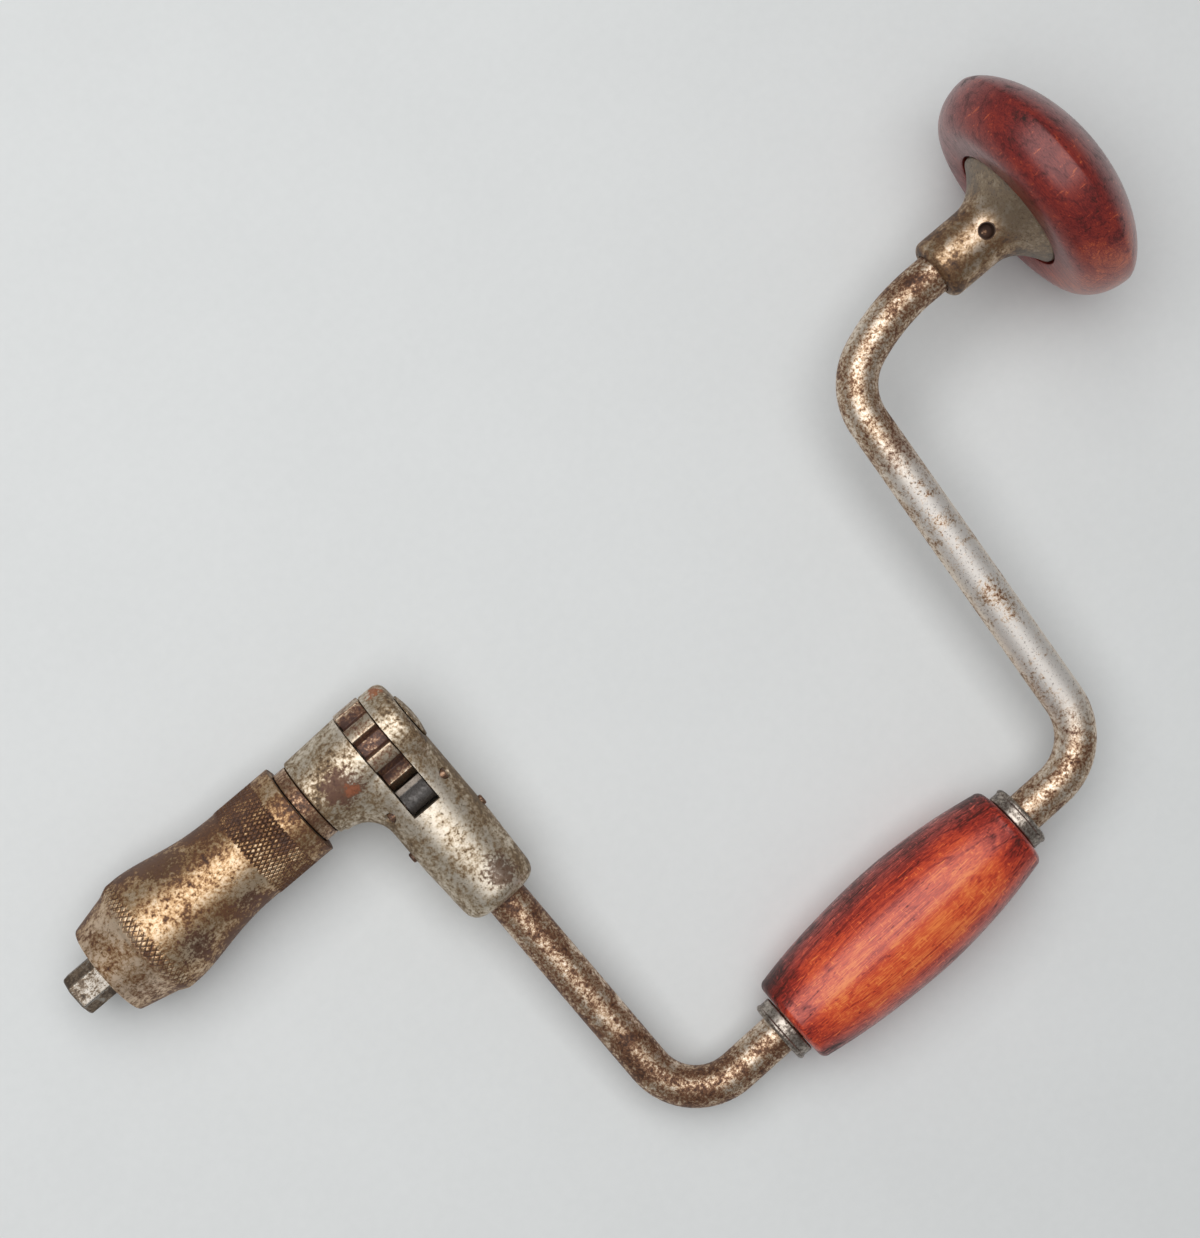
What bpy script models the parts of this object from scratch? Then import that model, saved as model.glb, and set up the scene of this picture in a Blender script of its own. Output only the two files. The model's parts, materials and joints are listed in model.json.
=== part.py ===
"""Ratchet brace: bent sweep, wooden grip and head, ratchet box and two-jaw chuck.

Tool frame: X runs along the main axis from the chuck to the head, the bow lies in the XY plane
with the grip at -Y, and X = 0 is the axis of the lower arm. One empty carries the tool frame
and lays the brace down on its head, its chuck and its grip, on the plane Z = 0.
"""
import math

import bmesh
import bpy
from mathutils import Euler, Matrix, Vector

MM = 0.001

# Clearances
FIT = 0.3 * MM
PIN_FIT = 0.2 * MM

# Sweep rod
ROD_RADIUS = 5.65 * MM
SWEEP_THROW = 127.0 * MM
ARM_SPACING = 146.2 * MM
LOWER_BEND_RADIUS = 16.4 * MM
UPPER_BEND_RADIUS = 17.6 * MM
GRIP_TILT = math.radians(1.4)
UPPER_ARM_SLANT = math.radians(4.5)
HEAD_BEND_RADIUS = 17.5 * MM
HEAD_EASE_RADIUS = 62.0 * MM
HEAD_EASE_ANGLE = math.radians(21.5)
SHOULDER_HEIGHT = 1.45 * MM

# Ratchet box
SLOT_WIDTH = 8.6 * MM
CHEEK_RADIUS = 12.45 * MM
BACK_CHEEK = 7.0 * MM
BACK_EDGE = 3.2 * MM
BARREL_LENGTH = 17.6 * MM
BARREL_FRONT_RADIUS = 11.7 * MM
SOCKET_RADIUS = 11.6 * MM
SOCKET_END_RADIUS = 10.7 * MM
SOCKET_TAPER = 20.0 * MM
SOCKET_LENGTH = 53.0 * MM
SOCKET_EDGE = 4.6 * MM
SOCKET_FLOOR = 2.6 * MM
BOX_FILLET = 8.6 * MM

# Ratchet wheel and pawls
TEETH = 8
GEAR_PROUD = 0.6 * MM
TOOTH_DEPTH = 3.3 * MM
CREST_WIDTH = 4.3 * MM
ROOT_WIDTH = 3.7 * MM
GEAR_PHASE = math.radians(14.5)
PAWL_OFFSET = 3.9 * MM
PAWL_RISE = 7.0 * MM
PAWL_EYE_RADIUS = 3.0 * MM
PAWL_NOSE_ANGLE = math.radians(6.5)
PAWL_NOSE_WIDTH = 1.9 * MM
PAWL_LIP_REACH = 4.5 * MM
PAWL_LIP_RISE = 1.6 * MM
PAWL_LIP_DEPTH = 1.2 * MM
PAWL_LIP_WIDTH = 1.8 * MM
PAWL_END_ROOM = 0.9 * MM
PIN_RADIUS = 1.45 * MM
PIN_PROUD = 0.8 * MM
SWEEP_PIN_DEPTH = 5.7 * MM
LEAF = 0.6 * MM
PAWL_LEAF_RADIUS = 2.1 * MM
PAWL_LEAF_LENGTH = 2.3 * MM
PAWL_LEAF_WIDTH = 6.0 * MM

# Spindle
JOURNAL_RADIUS = 7.0 * MM
TAIL_RADIUS = 4.4 * MM
KEY_WIDTH = 2.4 * MM
KEY_DEPTH = 1.5 * MM
KEY_HEIGHT = 1.2 * MM
RIVET_RADIUS = 6.6 * MM
RIVET_DOME = 1.3 * MM
RIVET_SHANK = 2.0 * MM
RIVET_LENGTH = 7.0 * MM
RING_LENGTH = 3.7 * MM
RING_RADIUS = 11.0 * MM

# Chuck
SHELL_LENGTH = 65.1 * MM
SHELL_REAR_RADIUS = 13.6 * MM
SHELL_WAIST_RADIUS = 13.4 * MM
SHELL_BELLY_RADIUS = 17.2 * MM
SHELL_NOSE_RADIUS = 13.3 * MM
REAR_BAND = 17.7 * MM
BELLY_LENGTH = 31.0 * MM
BELLY_BAND = 2.2 * MM
BELLY_SHOULDER = 2.8 * MM
BELLY_DROP = 1.25 * MM
SHELL_EDGE = 0.6 * MM
THREAD_RADIUS = 10.4 * MM
NOSE_HOLE_RADIUS = 9.1 * MM
CONE_ANGLE = math.radians(20.0)
CAVITY_RADIUS = 13.8 * MM
CAVITY_LENGTH = 8.4 * MM
CAVITY_TAPER = 5.0 * MM
JAW_REACH = 10.3 * MM
JAW_WIDTH = 11.6 * MM
JAW_FLAT = 6.1 * MM
JAW_BACK = 6.5 * MM
JAW_GAP = 1.0 * MM
JAW_EDGE = 0.6 * MM
JAW_CONE_LENGTH = 7.0 * MM
JAW_CROWN_LENGTH = 2.0 * MM
JAW_SHOULDER_LENGTH = 4.0 * MM
JAW_TAIL_RADIUS = 8.6 * MM
JAW_TAIL_LENGTH = 18.0 * MM
JAW_TRAVEL = 5.0 * MM
NOTCH_DEPTH = 4.7 * MM
NOTCH_LENGTH = 22.0 * MM
SPINDLE_INSET = 18.3 * MM
JAW_LEAF_WIDTH = 3.6 * MM
JAW_LEAF_RADIUS = 2.0 * MM
JAW_LEAF_LENGTH = 19.0 * MM

# Grip
COLLAR_START = 31.4 * MM
COLLAR_LENGTH = 4.4 * MM
COLLAR_HEIGHT = 3.4 * MM
COLLAR_EDGE = 0.9 * MM
GRIP_LENGTH = 78.6 * MM
GRIP_BELLY_RADIUS = 16.7 * MM
GRIP_BELLY_AT = 40.0 * MM
GRIP_LOWER_RADIUS = 13.2 * MM
GRIP_UPPER_RADIUS = 12.7 * MM
GRIP_EDGE = 2.2 * MM

# Head
QUILL_STANDOFF = 4.8 * MM
QUILL_RADIUS = 8.7 * MM
QUILL_NOSE = 2.4 * MM
QUILL_LENGTH = 26.2 * MM
FLARE_LENGTH = 11.7 * MM
FLARE_POWER = 2.2
FLANGE_RADIUS = 17.65 * MM
FLANGE_THICKNESS = 2.8 * MM
HUB_RADIUS = 11.0 * MM
HUB_LENGTH = 9.0 * MM
OIL_HOLE_RADIUS = 2.1 * MM
OIL_HOLE_SETBACK = 10.0 * MM
WASHER_THICKNESS = 1.2 * MM
BACK_WASHER_RADIUS = 8.5 * MM
NUT_ACROSS_FLATS = 13.0 * MM
NUT_HEIGHT = 4.2 * MM
NECK_END = 1.0 * MM
KNOB_RADIUS = 34.5 * MM
KNOB_FACE_RADIUS = 25.0 * MM
KNOB_FRONT = 12.7 * MM
KNOB_BACK = 15.0 * MM
KNOB_BACK_POWER = 0.65
RECESS_GAP = 0.8 * MM
CAVITY_ROOM = 1.5 * MM

# Faceting
TURN_STEPS = 36
SMALL_STEPS = 20
FILLET_LEVELS = 8
FILLET_STEPS = 6
ARC_STEP = math.radians(9.0)
ROD_BEVEL_RESOLUTION = 9

# Places along the main axis that several pieces share
SLOT_HALF = SLOT_WIDTH / 2
BOX_BACK = SLOT_HALF + BACK_CHEEK
BARREL_FRONT = -SLOT_HALF - BARREL_LENGTH
RING_BACK = BARREL_FRONT - FIT
RING_FRONT = RING_BACK - RING_LENGTH
SHELL_REAR = RING_FRONT - FIT
SHELL_NOSE = SHELL_REAR - SHELL_LENGTH
JAW_TIP = SHELL_NOSE - JAW_REACH
SPINDLE_FRONT = SHELL_NOSE + SPINDLE_INSET
JAW_TAIL_END = SPINDLE_FRONT + JAW_TAIL_LENGTH - JAW_SHOULDER_LENGTH
JAW_SLOT_END = JAW_TAIL_END + JAW_TRAVEL * math.cos(CONE_ANGLE) + FIT

# Places across the slot, measured from the main axis towards the grip
GEAR_TIP_RADIUS = CHEEK_RADIUS + GEAR_PROUD
GEAR_ROOT_RADIUS = GEAR_TIP_RADIUS - TOOTH_DEPTH
PAWL_REACH = GEAR_TIP_RADIUS + PAWL_OFFSET
SLOT_DEPTH = PAWL_REACH + PAWL_EYE_RADIUS + PAWL_END_ROOM
SOCKET_BOTTOM = SLOT_DEPTH + SOCKET_FLOOR
ROD_START = SOCKET_BOTTOM + FIT
SWEEP_PIN_AT = SOCKET_BOTTOM + SWEEP_PIN_DEPTH

# Head stack, from the end of the sweep's bend
NECK_RADIUS = ROD_RADIUS - SHOULDER_HEIGHT

STEEL = ("aged_steel", (0.30, 0.24, 0.18), 0.42, 1.0)
NICKEL = ("worn_nickel", (0.46, 0.43, 0.38), 0.38, 1.0)
DARK_STEEL = ("dark_steel", (0.16, 0.15, 0.14), 0.45, 1.0)
GRIP_WOOD = ("stained_beech", (0.50, 0.11, 0.03), 0.40, 0.0)
KNOB_WOOD = ("crimson_wood", (0.22, 0.025, 0.015), 0.38, 0.0)


def clear_scene():
    for obj in list(bpy.data.objects):
        bpy.data.objects.remove(obj, do_unlink=True)


def collection(name):
    group = bpy.data.collections.new(name)
    bpy.context.scene.collection.children.link(group)
    return group


def axis_empty(name, parent, location, columns):
    """An empty whose local axes are the three given directions of its parent."""
    empty = bpy.data.objects.new(name, None)
    PARTS.objects.link(empty)
    turn = Matrix(columns).transposed().to_4x4()
    empty.parent = parent
    empty.matrix_basis = Matrix.Translation(location) @ turn
    return empty


def finish_material(finish):
    name, colour, roughness, metallic = finish
    found = bpy.data.materials.get(name)
    if found:
        return found
    made = bpy.data.materials.new(name)
    made.use_nodes = True
    shader = made.node_tree.nodes["Principled BSDF"]
    shader.inputs["Base Color"].default_value = (*colour, 1.0)
    shader.inputs["Roughness"].default_value = roughness
    shader.inputs["Metallic"].default_value = metallic
    return made


def add_object(name, data, parent, finish=None):
    """A part when it has a finish, and otherwise a cutter or a shape to be joined."""
    obj = bpy.data.objects.new(name, data)
    obj.parent = parent
    if finish:
        PARTS.objects.link(obj)
        data.materials.append(finish_material(finish))
    else:
        CUTTERS.objects.link(obj)
        obj.hide_render = True
        obj.display_type = 'WIRE'
    return obj


def arc(centre, radius, start, end, steps):
    """Points on a circle from one angle to another, both ends included."""
    turn = (end - start) / steps
    return [(centre[0] + radius * math.cos(start + turn * i),
             centre[1] + radius * math.sin(start + turn * i)) for i in range(steps + 1)]


def turned(name, profile, parent, finish=None, steps=TURN_STEPS):
    """A profile of (radius, height) spun about local Z, listed down its outer side.

    A profile that starts and ends on the axis is a solid, and any other is closed into a ring.
    """
    mesh = bpy.data.meshes.new(name)
    points = [(radius, 0.0, height) for radius, height in profile]
    edges = [(i, i + 1) for i in range(len(points) - 1)]
    if profile[0][0] > 0.0:
        edges.append((len(points) - 1, 0))
    mesh.from_pydata(points, edges, [])
    obj = add_object(name, mesh, parent, finish)
    screw = obj.modifiers.new("Turn", 'SCREW')
    screw.steps = steps
    screw.render_steps = steps
    screw.use_merge_vertices = True
    screw.merge_threshold = 0.00001
    screw.use_smooth_shade = False
    return obj


def rod(name, radius, low, high, parent, finish=None, steps=SMALL_STEPS):
    return turned(name, [(0.0, high), (radius, high), (radius, low), (0.0, low)], parent, finish, steps)


def outline(name, loops, thickness, parent, finish=None):
    """Flat outlines in local XY, filled and extruded evenly either side of local Z = 0."""
    curve = bpy.data.curves.new(name, 'CURVE')
    curve.dimensions = '2D'
    curve.fill_mode = 'BOTH'
    curve.extrude = thickness / 2
    for loop in loops:
        spline = curve.splines.new('POLY')
        spline.points.add(len(loop) - 1)
        for point, (x, y) in zip(spline.points, loop):
            point.co = (x, y, 0.0, 1.0)
        spline.use_cyclic_u = True
    return add_object(name, curve, parent, finish)


def as_mesh(curve_object, finish=None):
    """The closed mesh of a curve object, in its place, so that it can be cut and joined."""
    bpy.context.view_layer.update()
    graph = bpy.context.evaluated_depsgraph_get()
    mesh = bpy.data.meshes.new_from_object(curve_object.evaluated_get(graph))
    work = bmesh.new()
    work.from_mesh(mesh)
    bmesh.ops.remove_doubles(work, verts=work.verts, dist=0.000005)
    bmesh.ops.recalc_face_normals(work, faces=work.faces)
    work.to_mesh(mesh)
    work.free()
    mesh.materials.clear()
    name = curve_object.name
    parent = curve_object.parent
    basis = curve_object.matrix_basis.copy()
    bpy.data.objects.remove(curve_object, do_unlink=True)
    obj = add_object(name, mesh, parent, finish)
    obj.matrix_basis = basis
    return obj


def block(name, low, high, parent, finish=None):
    """A box between two corners in the parent's axes."""
    mesh = bpy.data.meshes.new(name)
    work = bmesh.new()
    size = Vector(high) - Vector(low)
    middle = (Vector(high) + Vector(low)) / 2
    place = Matrix.Translation(middle) @ Matrix.Diagonal(size).to_4x4()
    bmesh.ops.create_cube(work, size=1.0, matrix=place)
    work.to_mesh(mesh)
    work.free()
    return add_object(name, mesh, parent, finish)


def leaf(name, path, width, thickness, parent, finish):
    """A strip of spring steel bent along a path in local XY, with its width along local Z."""
    mesh = bpy.data.meshes.new(name)
    work = bmesh.new()
    near = [work.verts.new((x, y, -width / 2)) for x, y in path]
    far = [work.verts.new((x, y, width / 2)) for x, y in path]
    for i in range(len(path) - 1):
        work.faces.new((near[i], near[i + 1], far[i + 1], far[i]))
    work.to_mesh(mesh)
    work.free()
    obj = add_object(name, mesh, parent, finish)
    solidify = obj.modifiers.new("Thickness", 'SOLIDIFY')
    solidify.thickness = thickness
    solidify.offset = 0.0
    solidify.use_even_offset = True
    return obj


def combine(obj, other, operation):
    boolean = obj.modifiers.new(operation.title() + "_" + other.name, 'BOOLEAN')
    boolean.operation = operation
    boolean.object = other
    boolean.solver = 'EXACT'


def cut(obj, *others):
    for other in others:
        combine(obj, other, 'DIFFERENCE')


def join(obj, *others):
    for other in others:
        combine(obj, other, 'UNION')


def smooth_step(share):
    return share * share * (3.0 - 2.0 * share)


class Path:
    """A centreline in the bow plane, drawn by straight runs and arcs."""

    def __init__(self, start, heading):
        self.points = [Vector((start[0], start[1], 0.0))]
        self.heading = heading

    def forward(self, distance):
        step = Vector((math.cos(self.heading), math.sin(self.heading), 0.0)) * distance
        self.points.append(self.points[-1] + step)

    def bend(self, radius, turn):
        """A left turn for a positive angle, and a right turn for a negative one."""
        steps = max(2, round(abs(turn) / ARC_STEP))
        chord = 2 * radius * math.sin(abs(turn) / steps / 2)
        self.heading += turn / steps / 2
        for _ in range(steps):
            self.forward(chord)
            self.heading += turn / steps
        self.heading -= turn / steps / 2


def head_rise():
    """How far the bend into the head climbs, from the slanted arm to the main axis."""
    ease_start = math.pi / 2 - HEAD_EASE_ANGLE
    tight = HEAD_BEND_RADIUS * (math.sin(ease_start) - math.sin(UPPER_ARM_SLANT))
    return tight + HEAD_EASE_RADIUS * (1.0 - math.sin(ease_start))


def grip_line():
    """Where the grip's centreline meets the lower and the upper arm."""
    fall = ARM_SPACING / 2 * math.tan(GRIP_TILT)
    return Vector((0.0, -SWEEP_THROW - fall, 0.0)), Vector((ARM_SPACING, -SWEEP_THROW + fall, 0.0))


def sweep_to_bend_end():
    """The centreline from the socket to the end of the bend into the head."""
    lower, upper = grip_line()
    lower_turn = math.pi / 2 + GRIP_TILT
    upper_turn = math.pi / 2 - UPPER_ARM_SLANT - GRIP_TILT
    lower_tangent = LOWER_BEND_RADIUS * math.tan(lower_turn / 2)
    upper_tangent = UPPER_BEND_RADIUS * math.tan(upper_turn / 2)
    upper_arm = (-upper.y - head_rise()) / math.cos(UPPER_ARM_SLANT)
    path = Path((0.0, -ROD_START), -math.pi / 2)
    path.forward(-lower.y - ROD_START - lower_tangent)
    path.bend(LOWER_BEND_RADIUS, lower_turn)
    path.forward((upper - lower).length - lower_tangent - upper_tangent)
    path.bend(UPPER_BEND_RADIUS, upper_turn)
    path.forward(upper_arm - upper_tangent)
    path.bend(HEAD_BEND_RADIUS, HEAD_EASE_ANGLE + UPPER_ARM_SLANT - math.pi / 2)
    path.bend(HEAD_EASE_RADIUS, -HEAD_EASE_ANGLE)
    return path


def head_stack():
    """Places along the main axis of the head's pieces."""
    place = {"quill": sweep_to_bend_end().points[-1].x + QUILL_STANDOFF}
    place["flange"] = place["quill"] + QUILL_LENGTH
    place["flange_back"] = place["flange"] + FLANGE_THICKNESS
    place["seat"] = place["flange"] - FLANGE_THICKNESS
    place["shoulder"] = place["seat"] - WASHER_THICKNESS - 2 * FIT
    place["hub_end"] = place["flange_back"] + HUB_LENGTH
    place["back_washer"] = place["hub_end"] + FIT
    place["nut"] = place["back_washer"] + WASHER_THICKNESS + FIT
    place["neck_end"] = place["nut"] + NUT_HEIGHT + NECK_END
    place["face"] = place["flange"] - FIT
    place["widest"] = place["face"] + KNOB_FRONT
    return place


def make_sweep(tool, main, head):
    path = sweep_to_bend_end()
    path.forward(head["shoulder"] - path.points[-1].x)
    curve = bpy.data.curves.new("sweep", 'CURVE')
    curve.dimensions = '3D'
    curve.twist_mode = 'Z_UP'
    curve.bevel_depth = ROD_RADIUS
    curve.bevel_resolution = ROD_BEVEL_RESOLUTION
    curve.use_fill_caps = True
    spline = curve.splines.new('POLY')
    spline.points.add(len(path.points) - 1)
    for point, place in zip(spline.points, path.points):
        point.co = (*place, 1.0)
    sweep = as_mesh(add_object("sweep", curve, tool), STEEL)
    neck = rod("sweep_neck", NECK_RADIUS, head["shoulder"] - ROD_RADIUS, head["neck_end"], main)
    hole = rod("sweep_pin_hole", PIN_RADIUS + PIN_FIT, -SOCKET_RADIUS, SOCKET_RADIUS, main)
    hole.location.x = -SWEEP_PIN_AT
    join(sweep, neck)
    cut(sweep, hole)


def box_fillet(tool):
    """The cast fillet in the corner of barrel and socket, lofted through level slices."""
    mesh = bpy.data.meshes.new("box_fillet")
    work = bmesh.new()
    top = 0.94 * min(SOCKET_RADIUS, BARREL_FRONT_RADIUS)
    rings = []
    for i in range(FILLET_LEVELS + 1):
        z = top * math.sin(math.pi / 2 * (2 * i / FILLET_LEVELS - 1))
        side = -math.sqrt(SOCKET_RADIUS ** 2 - z ** 2)
        under = -math.sqrt(CHEEK_RADIUS ** 2 - z ** 2)
        radius = BOX_FILLET * math.sqrt(1.0 - (0.98 * z / top) ** 2)
        inside = (side + SLOT_HALF / 2, under + SLOT_HALF / 2)
        centre = (side - radius, under - radius)
        bow = arc(centre, radius, math.pi / 2, 0.0, FILLET_STEPS)
        points = [inside, (bow[0][0], inside[1])] + bow + [(inside[0], bow[-1][1])]
        rings.append([work.verts.new((x, y, z)) for x, y in points])
    for lower, upper in zip(rings, rings[1:]):
        for j in range(len(lower)):
            k = (j + 1) % len(lower)
            work.faces.new((lower[j], lower[k], upper[k], upper[j]))
    work.faces.new(rings[0])
    work.faces.new(rings[-1])
    bmesh.ops.recalc_face_normals(work, faces=work.faces)
    work.to_mesh(mesh)
    work.free()
    return add_object("box_fillet", mesh, tool)


def make_ratchet_box(tool, main, socket):
    edge = arc((CHEEK_RADIUS - BACK_EDGE, BOX_BACK - BACK_EDGE), BACK_EDGE, math.pi / 2, 0.0, 4)
    barrel = [(0.0, BOX_BACK)] + edge
    barrel += [(CHEEK_RADIUS, -SLOT_HALF), (BARREL_FRONT_RADIUS, BARREL_FRONT), (0.0, BARREL_FRONT)]
    box = turned("ratchet_box", barrel, main, NICKEL)
    end = arc((SOCKET_END_RADIUS - SOCKET_EDGE, SOCKET_EDGE - SOCKET_LENGTH), SOCKET_EDGE, 0.0, -math.pi / 2, 4)
    arm = [(0.0, 0.0), (SOCKET_RADIUS, 0.0), (SOCKET_RADIUS, SOCKET_TAPER - SOCKET_LENGTH)]
    arm += end + [(0.0, -SOCKET_LENGTH)]
    join(box, turned("box_socket", arm, socket), box_fillet(tool))
    reach = SLOT_DEPTH + CHEEK_RADIUS
    slot = block("box_slot", (-SLOT_HALF, -SLOT_DEPTH, -reach), (SLOT_HALF, reach, reach), tool)
    journal = rod("box_journal", JOURNAL_RADIUS + FIT, BARREL_FRONT - ROD_RADIUS, 0.0, main, steps=TURN_STEPS)
    tail = rod("box_tail", TAIL_RADIUS + FIT, 0.0, BOX_BACK + ROD_RADIUS, main, steps=TURN_STEPS)
    bore = rod("box_rod_bore", ROD_RADIUS + FIT, -SOCKET_LENGTH - ROD_RADIUS, -SOCKET_BOTTOM, socket,
               steps=TURN_STEPS)
    cut(box, slot, journal, tail, bore)
    long_enough = 2 * SOCKET_RADIUS
    for side, rise in (("upper", PAWL_RISE), ("lower", -PAWL_RISE)):
        hole = rod("box_pawl_hole_" + side, PIN_RADIUS + PIN_FIT, -long_enough, long_enough, main)
        hole.location = (-PAWL_REACH, rise, 0.0)
        cut(box, hole)
    hole = rod("box_sweep_hole", PIN_RADIUS + PIN_FIT, -long_enough, long_enough, main)
    hole.location.x = -SWEEP_PIN_AT
    hole.rotation_euler.z = math.pi / SMALL_STEPS
    cut(box, hole)


def make_pins(main):
    half = SOCKET_RADIUS + PIN_PROUD
    dome = [(0.0, half), (PIN_RADIUS * 0.6, half), (PIN_RADIUS, half - PIN_PROUD / 2)]
    dome += [(PIN_RADIUS, -half + PIN_PROUD / 2), (PIN_RADIUS * 0.6, -half), (0.0, -half)]
    pin = turned("sweep_pin", dome, main, DARK_STEEL, SMALL_STEPS)
    pin.location.x = -SWEEP_PIN_AT
    flush = math.sqrt(SOCKET_RADIUS ** 2 - PAWL_RISE ** 2)
    for side, rise in (("upper", PAWL_RISE), ("lower", -PAWL_RISE)):
        pin = rod("pawl_pin_" + side, PIN_RADIUS, -flush, flush, main, DARK_STEEL)
        pin.location = (-PAWL_REACH, rise, 0.0)


def gear_outline():
    """Eight blunt teeth, each with a curved crest and straight flanks."""
    points = []
    crest = CREST_WIDTH / GEAR_TIP_RADIUS / 2
    root = math.pi / TEETH - ROOT_WIDTH / GEAR_ROOT_RADIUS / 2
    for tooth in range(TEETH):
        middle = math.pi / 2 + GEAR_PHASE + tooth * 2 * math.pi / TEETH
        points += arc((0.0, 0.0), GEAR_ROOT_RADIUS, middle - 2 * math.pi / TEETH + root, middle - root, 2)
        points += arc((0.0, 0.0), GEAR_TIP_RADIUS, middle - crest, middle + crest, 2)
    return points


def keyed_bore():
    """A round bore with a square keyway at local +X."""
    radius = JOURNAL_RADIUS + FIT
    half = KEY_WIDTH / 2 + FIT
    lip = math.asin(half / radius)
    way = JOURNAL_RADIUS + KEY_HEIGHT + FIT
    return arc((0.0, 0.0), radius, lip, 2 * math.pi - lip, TURN_STEPS) + [(way, -half), (way, half)]


def make_gear(main):
    thickness = SLOT_WIDTH - 2 * FIT
    outline("ratchet_gear", [gear_outline(), keyed_bore()], thickness, main, STEEL)
    block("gear_key", (JOURNAL_RADIUS - KEY_DEPTH, -KEY_WIDTH / 2, -thickness / 2),
          (JOURNAL_RADIUS + KEY_HEIGHT, KEY_WIDTH / 2, thickness / 2), main, DARK_STEEL)


def pawl_outline():
    """The upper pawl about its own pivot: an eye, a raised lip and a nose that clears the teeth."""
    pivot = Vector((-PAWL_REACH, PAWL_RISE))
    clear = GEAR_TIP_RADIUS + FIT
    low = Vector((-math.cos(PAWL_NOSE_ANGLE), math.sin(PAWL_NOSE_ANGLE))) * clear
    turn = PAWL_NOSE_WIDTH / clear
    high = Vector((-math.cos(PAWL_NOSE_ANGLE + turn), math.sin(PAWL_NOSE_ANGLE + turn))) * clear
    heel = Vector((-PAWL_REACH + PAWL_EYE_RADIUS * 0.2, PAWL_RISE - PAWL_EYE_RADIUS * 1.25))
    nose = [point - pivot for point in (heel, low, high)]
    lip = [(PAWL_LIP_REACH, PAWL_LIP_RISE - PAWL_LIP_DEPTH), (PAWL_LIP_REACH, PAWL_LIP_RISE),
           (PAWL_LIP_REACH - PAWL_LIP_WIDTH, PAWL_LIP_RISE)]
    eye = arc((0.0, 0.0), PAWL_EYE_RADIUS, math.radians(60), math.radians(265), 10)
    return [tuple(point) for point in nose] + lip + eye


def make_pawls(main):
    thickness = SLOT_WIDTH - 2 * FIT
    hole = arc((0.0, 0.0), PIN_RADIUS + PIN_FIT, 0.0, 2 * math.pi * (1 - 1 / SMALL_STEPS), SMALL_STEPS - 1)
    for side, flip in (("upper", 1.0), ("lower", -1.0)):
        pivot = axis_empty("pawl_axis_" + side, main, (-PAWL_REACH, flip * PAWL_RISE, 0.0),
                           ((1, 0, 0), (0, 1, 0), (0, 0, 1)))
        shape = [(x, flip * y) for x, y in pawl_outline()]
        outline("pawl_" + side, [shape, hole], thickness, pivot, DARK_STEEL)
    bend = -SLOT_DEPTH + FIT + LEAF / 2 + PAWL_LEAF_RADIUS
    path = [(bend + PAWL_LEAF_LENGTH, PAWL_LEAF_RADIUS)]
    path += arc((bend, 0.0), PAWL_LEAF_RADIUS, math.pi / 2, 3 * math.pi / 2, 8)
    path += [(bend + PAWL_LEAF_LENGTH, -PAWL_LEAF_RADIUS)]
    leaf("pawl_spring", path, PAWL_LEAF_WIDTH, LEAF, main, DARK_STEEL)


def make_spindle(tool, main):
    gear_back = SLOT_HALF - FIT
    profile = [(0.0, BOX_BACK), (TAIL_RADIUS, BOX_BACK), (TAIL_RADIUS, gear_back), (JOURNAL_RADIUS, gear_back),
               (JOURNAL_RADIUS, SHELL_REAR), (THREAD_RADIUS, SHELL_REAR), (THREAD_RADIUS, SPINDLE_FRONT),
               (0.0, SPINDLE_FRONT)]
    spindle = turned("spindle", profile, main, STEEL)
    half = JAW_WIDTH / 2 + FIT
    slot = block("spindle_jaw_slot", (SPINDLE_FRONT - THREAD_RADIUS, -half, -2 * THREAD_RADIUS),
                 (JAW_SLOT_END, half, 2 * THREAD_RADIUS), tool)
    keyway = block("spindle_keyway", (JOURNAL_RADIUS - KEY_DEPTH - FIT, -KEY_WIDTH / 2 - FIT, -SLOT_HALF),
                   (JOURNAL_RADIUS + KEY_HEIGHT, KEY_WIDTH / 2 + FIT, SLOT_HALF), main)
    shank = rod("spindle_rivet_hole", RIVET_SHANK + FIT, BOX_BACK - RIVET_LENGTH - FIT, BOX_BACK + FIT, main)
    cut(spindle, slot, keyway, shank)
    seat = BOX_BACK + FIT
    rim = seat + RIVET_DOME * 0.4
    dome = [(0.0, seat + RIVET_DOME), (RIVET_RADIUS * 0.5, seat + RIVET_DOME * 0.85), (RIVET_RADIUS, rim),
            (RIVET_RADIUS, seat), (RIVET_SHANK, seat), (RIVET_SHANK, BOX_BACK - RIVET_LENGTH),
            (0.0, BOX_BACK - RIVET_LENGTH)]
    turned("spindle_rivet", dome, main, NICKEL)
    ring = [(RING_RADIUS, RING_BACK), (RING_RADIUS, RING_FRONT), (JOURNAL_RADIUS + FIT, RING_FRONT),
            (JOURNAL_RADIUS + FIT, RING_BACK)]
    turned("thrust_ring", ring, main, STEEL)


def shell_outside():
    """The shell's outer side from its rear rim to its nose."""
    points = [(SHELL_REAR_RADIUS - SHELL_EDGE, SHELL_REAR), (SHELL_REAR_RADIUS, SHELL_REAR - SHELL_EDGE)]
    waist = SHELL_REAR - REAR_BAND
    points += [(SHELL_REAR_RADIUS, waist)]
    steps = 8
    for i in range(steps + 1):
        share = smooth_step((i / steps) ** 1.3)
        swell = (SHELL_BELLY_RADIUS - SHELL_WAIST_RADIUS) * share
        points.append((SHELL_WAIST_RADIUS + swell, waist - SHELL_EDGE - BELLY_LENGTH * i / steps))
    band = points[-1][1] - BELLY_BAND
    points += [(SHELL_BELLY_RADIUS, band), (SHELL_BELLY_RADIUS - BELLY_DROP, band - BELLY_SHOULDER),
               (SHELL_NOSE_RADIUS, SHELL_NOSE + SHELL_EDGE), (SHELL_NOSE_RADIUS - SHELL_EDGE, SHELL_NOSE)]
    return points


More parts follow.
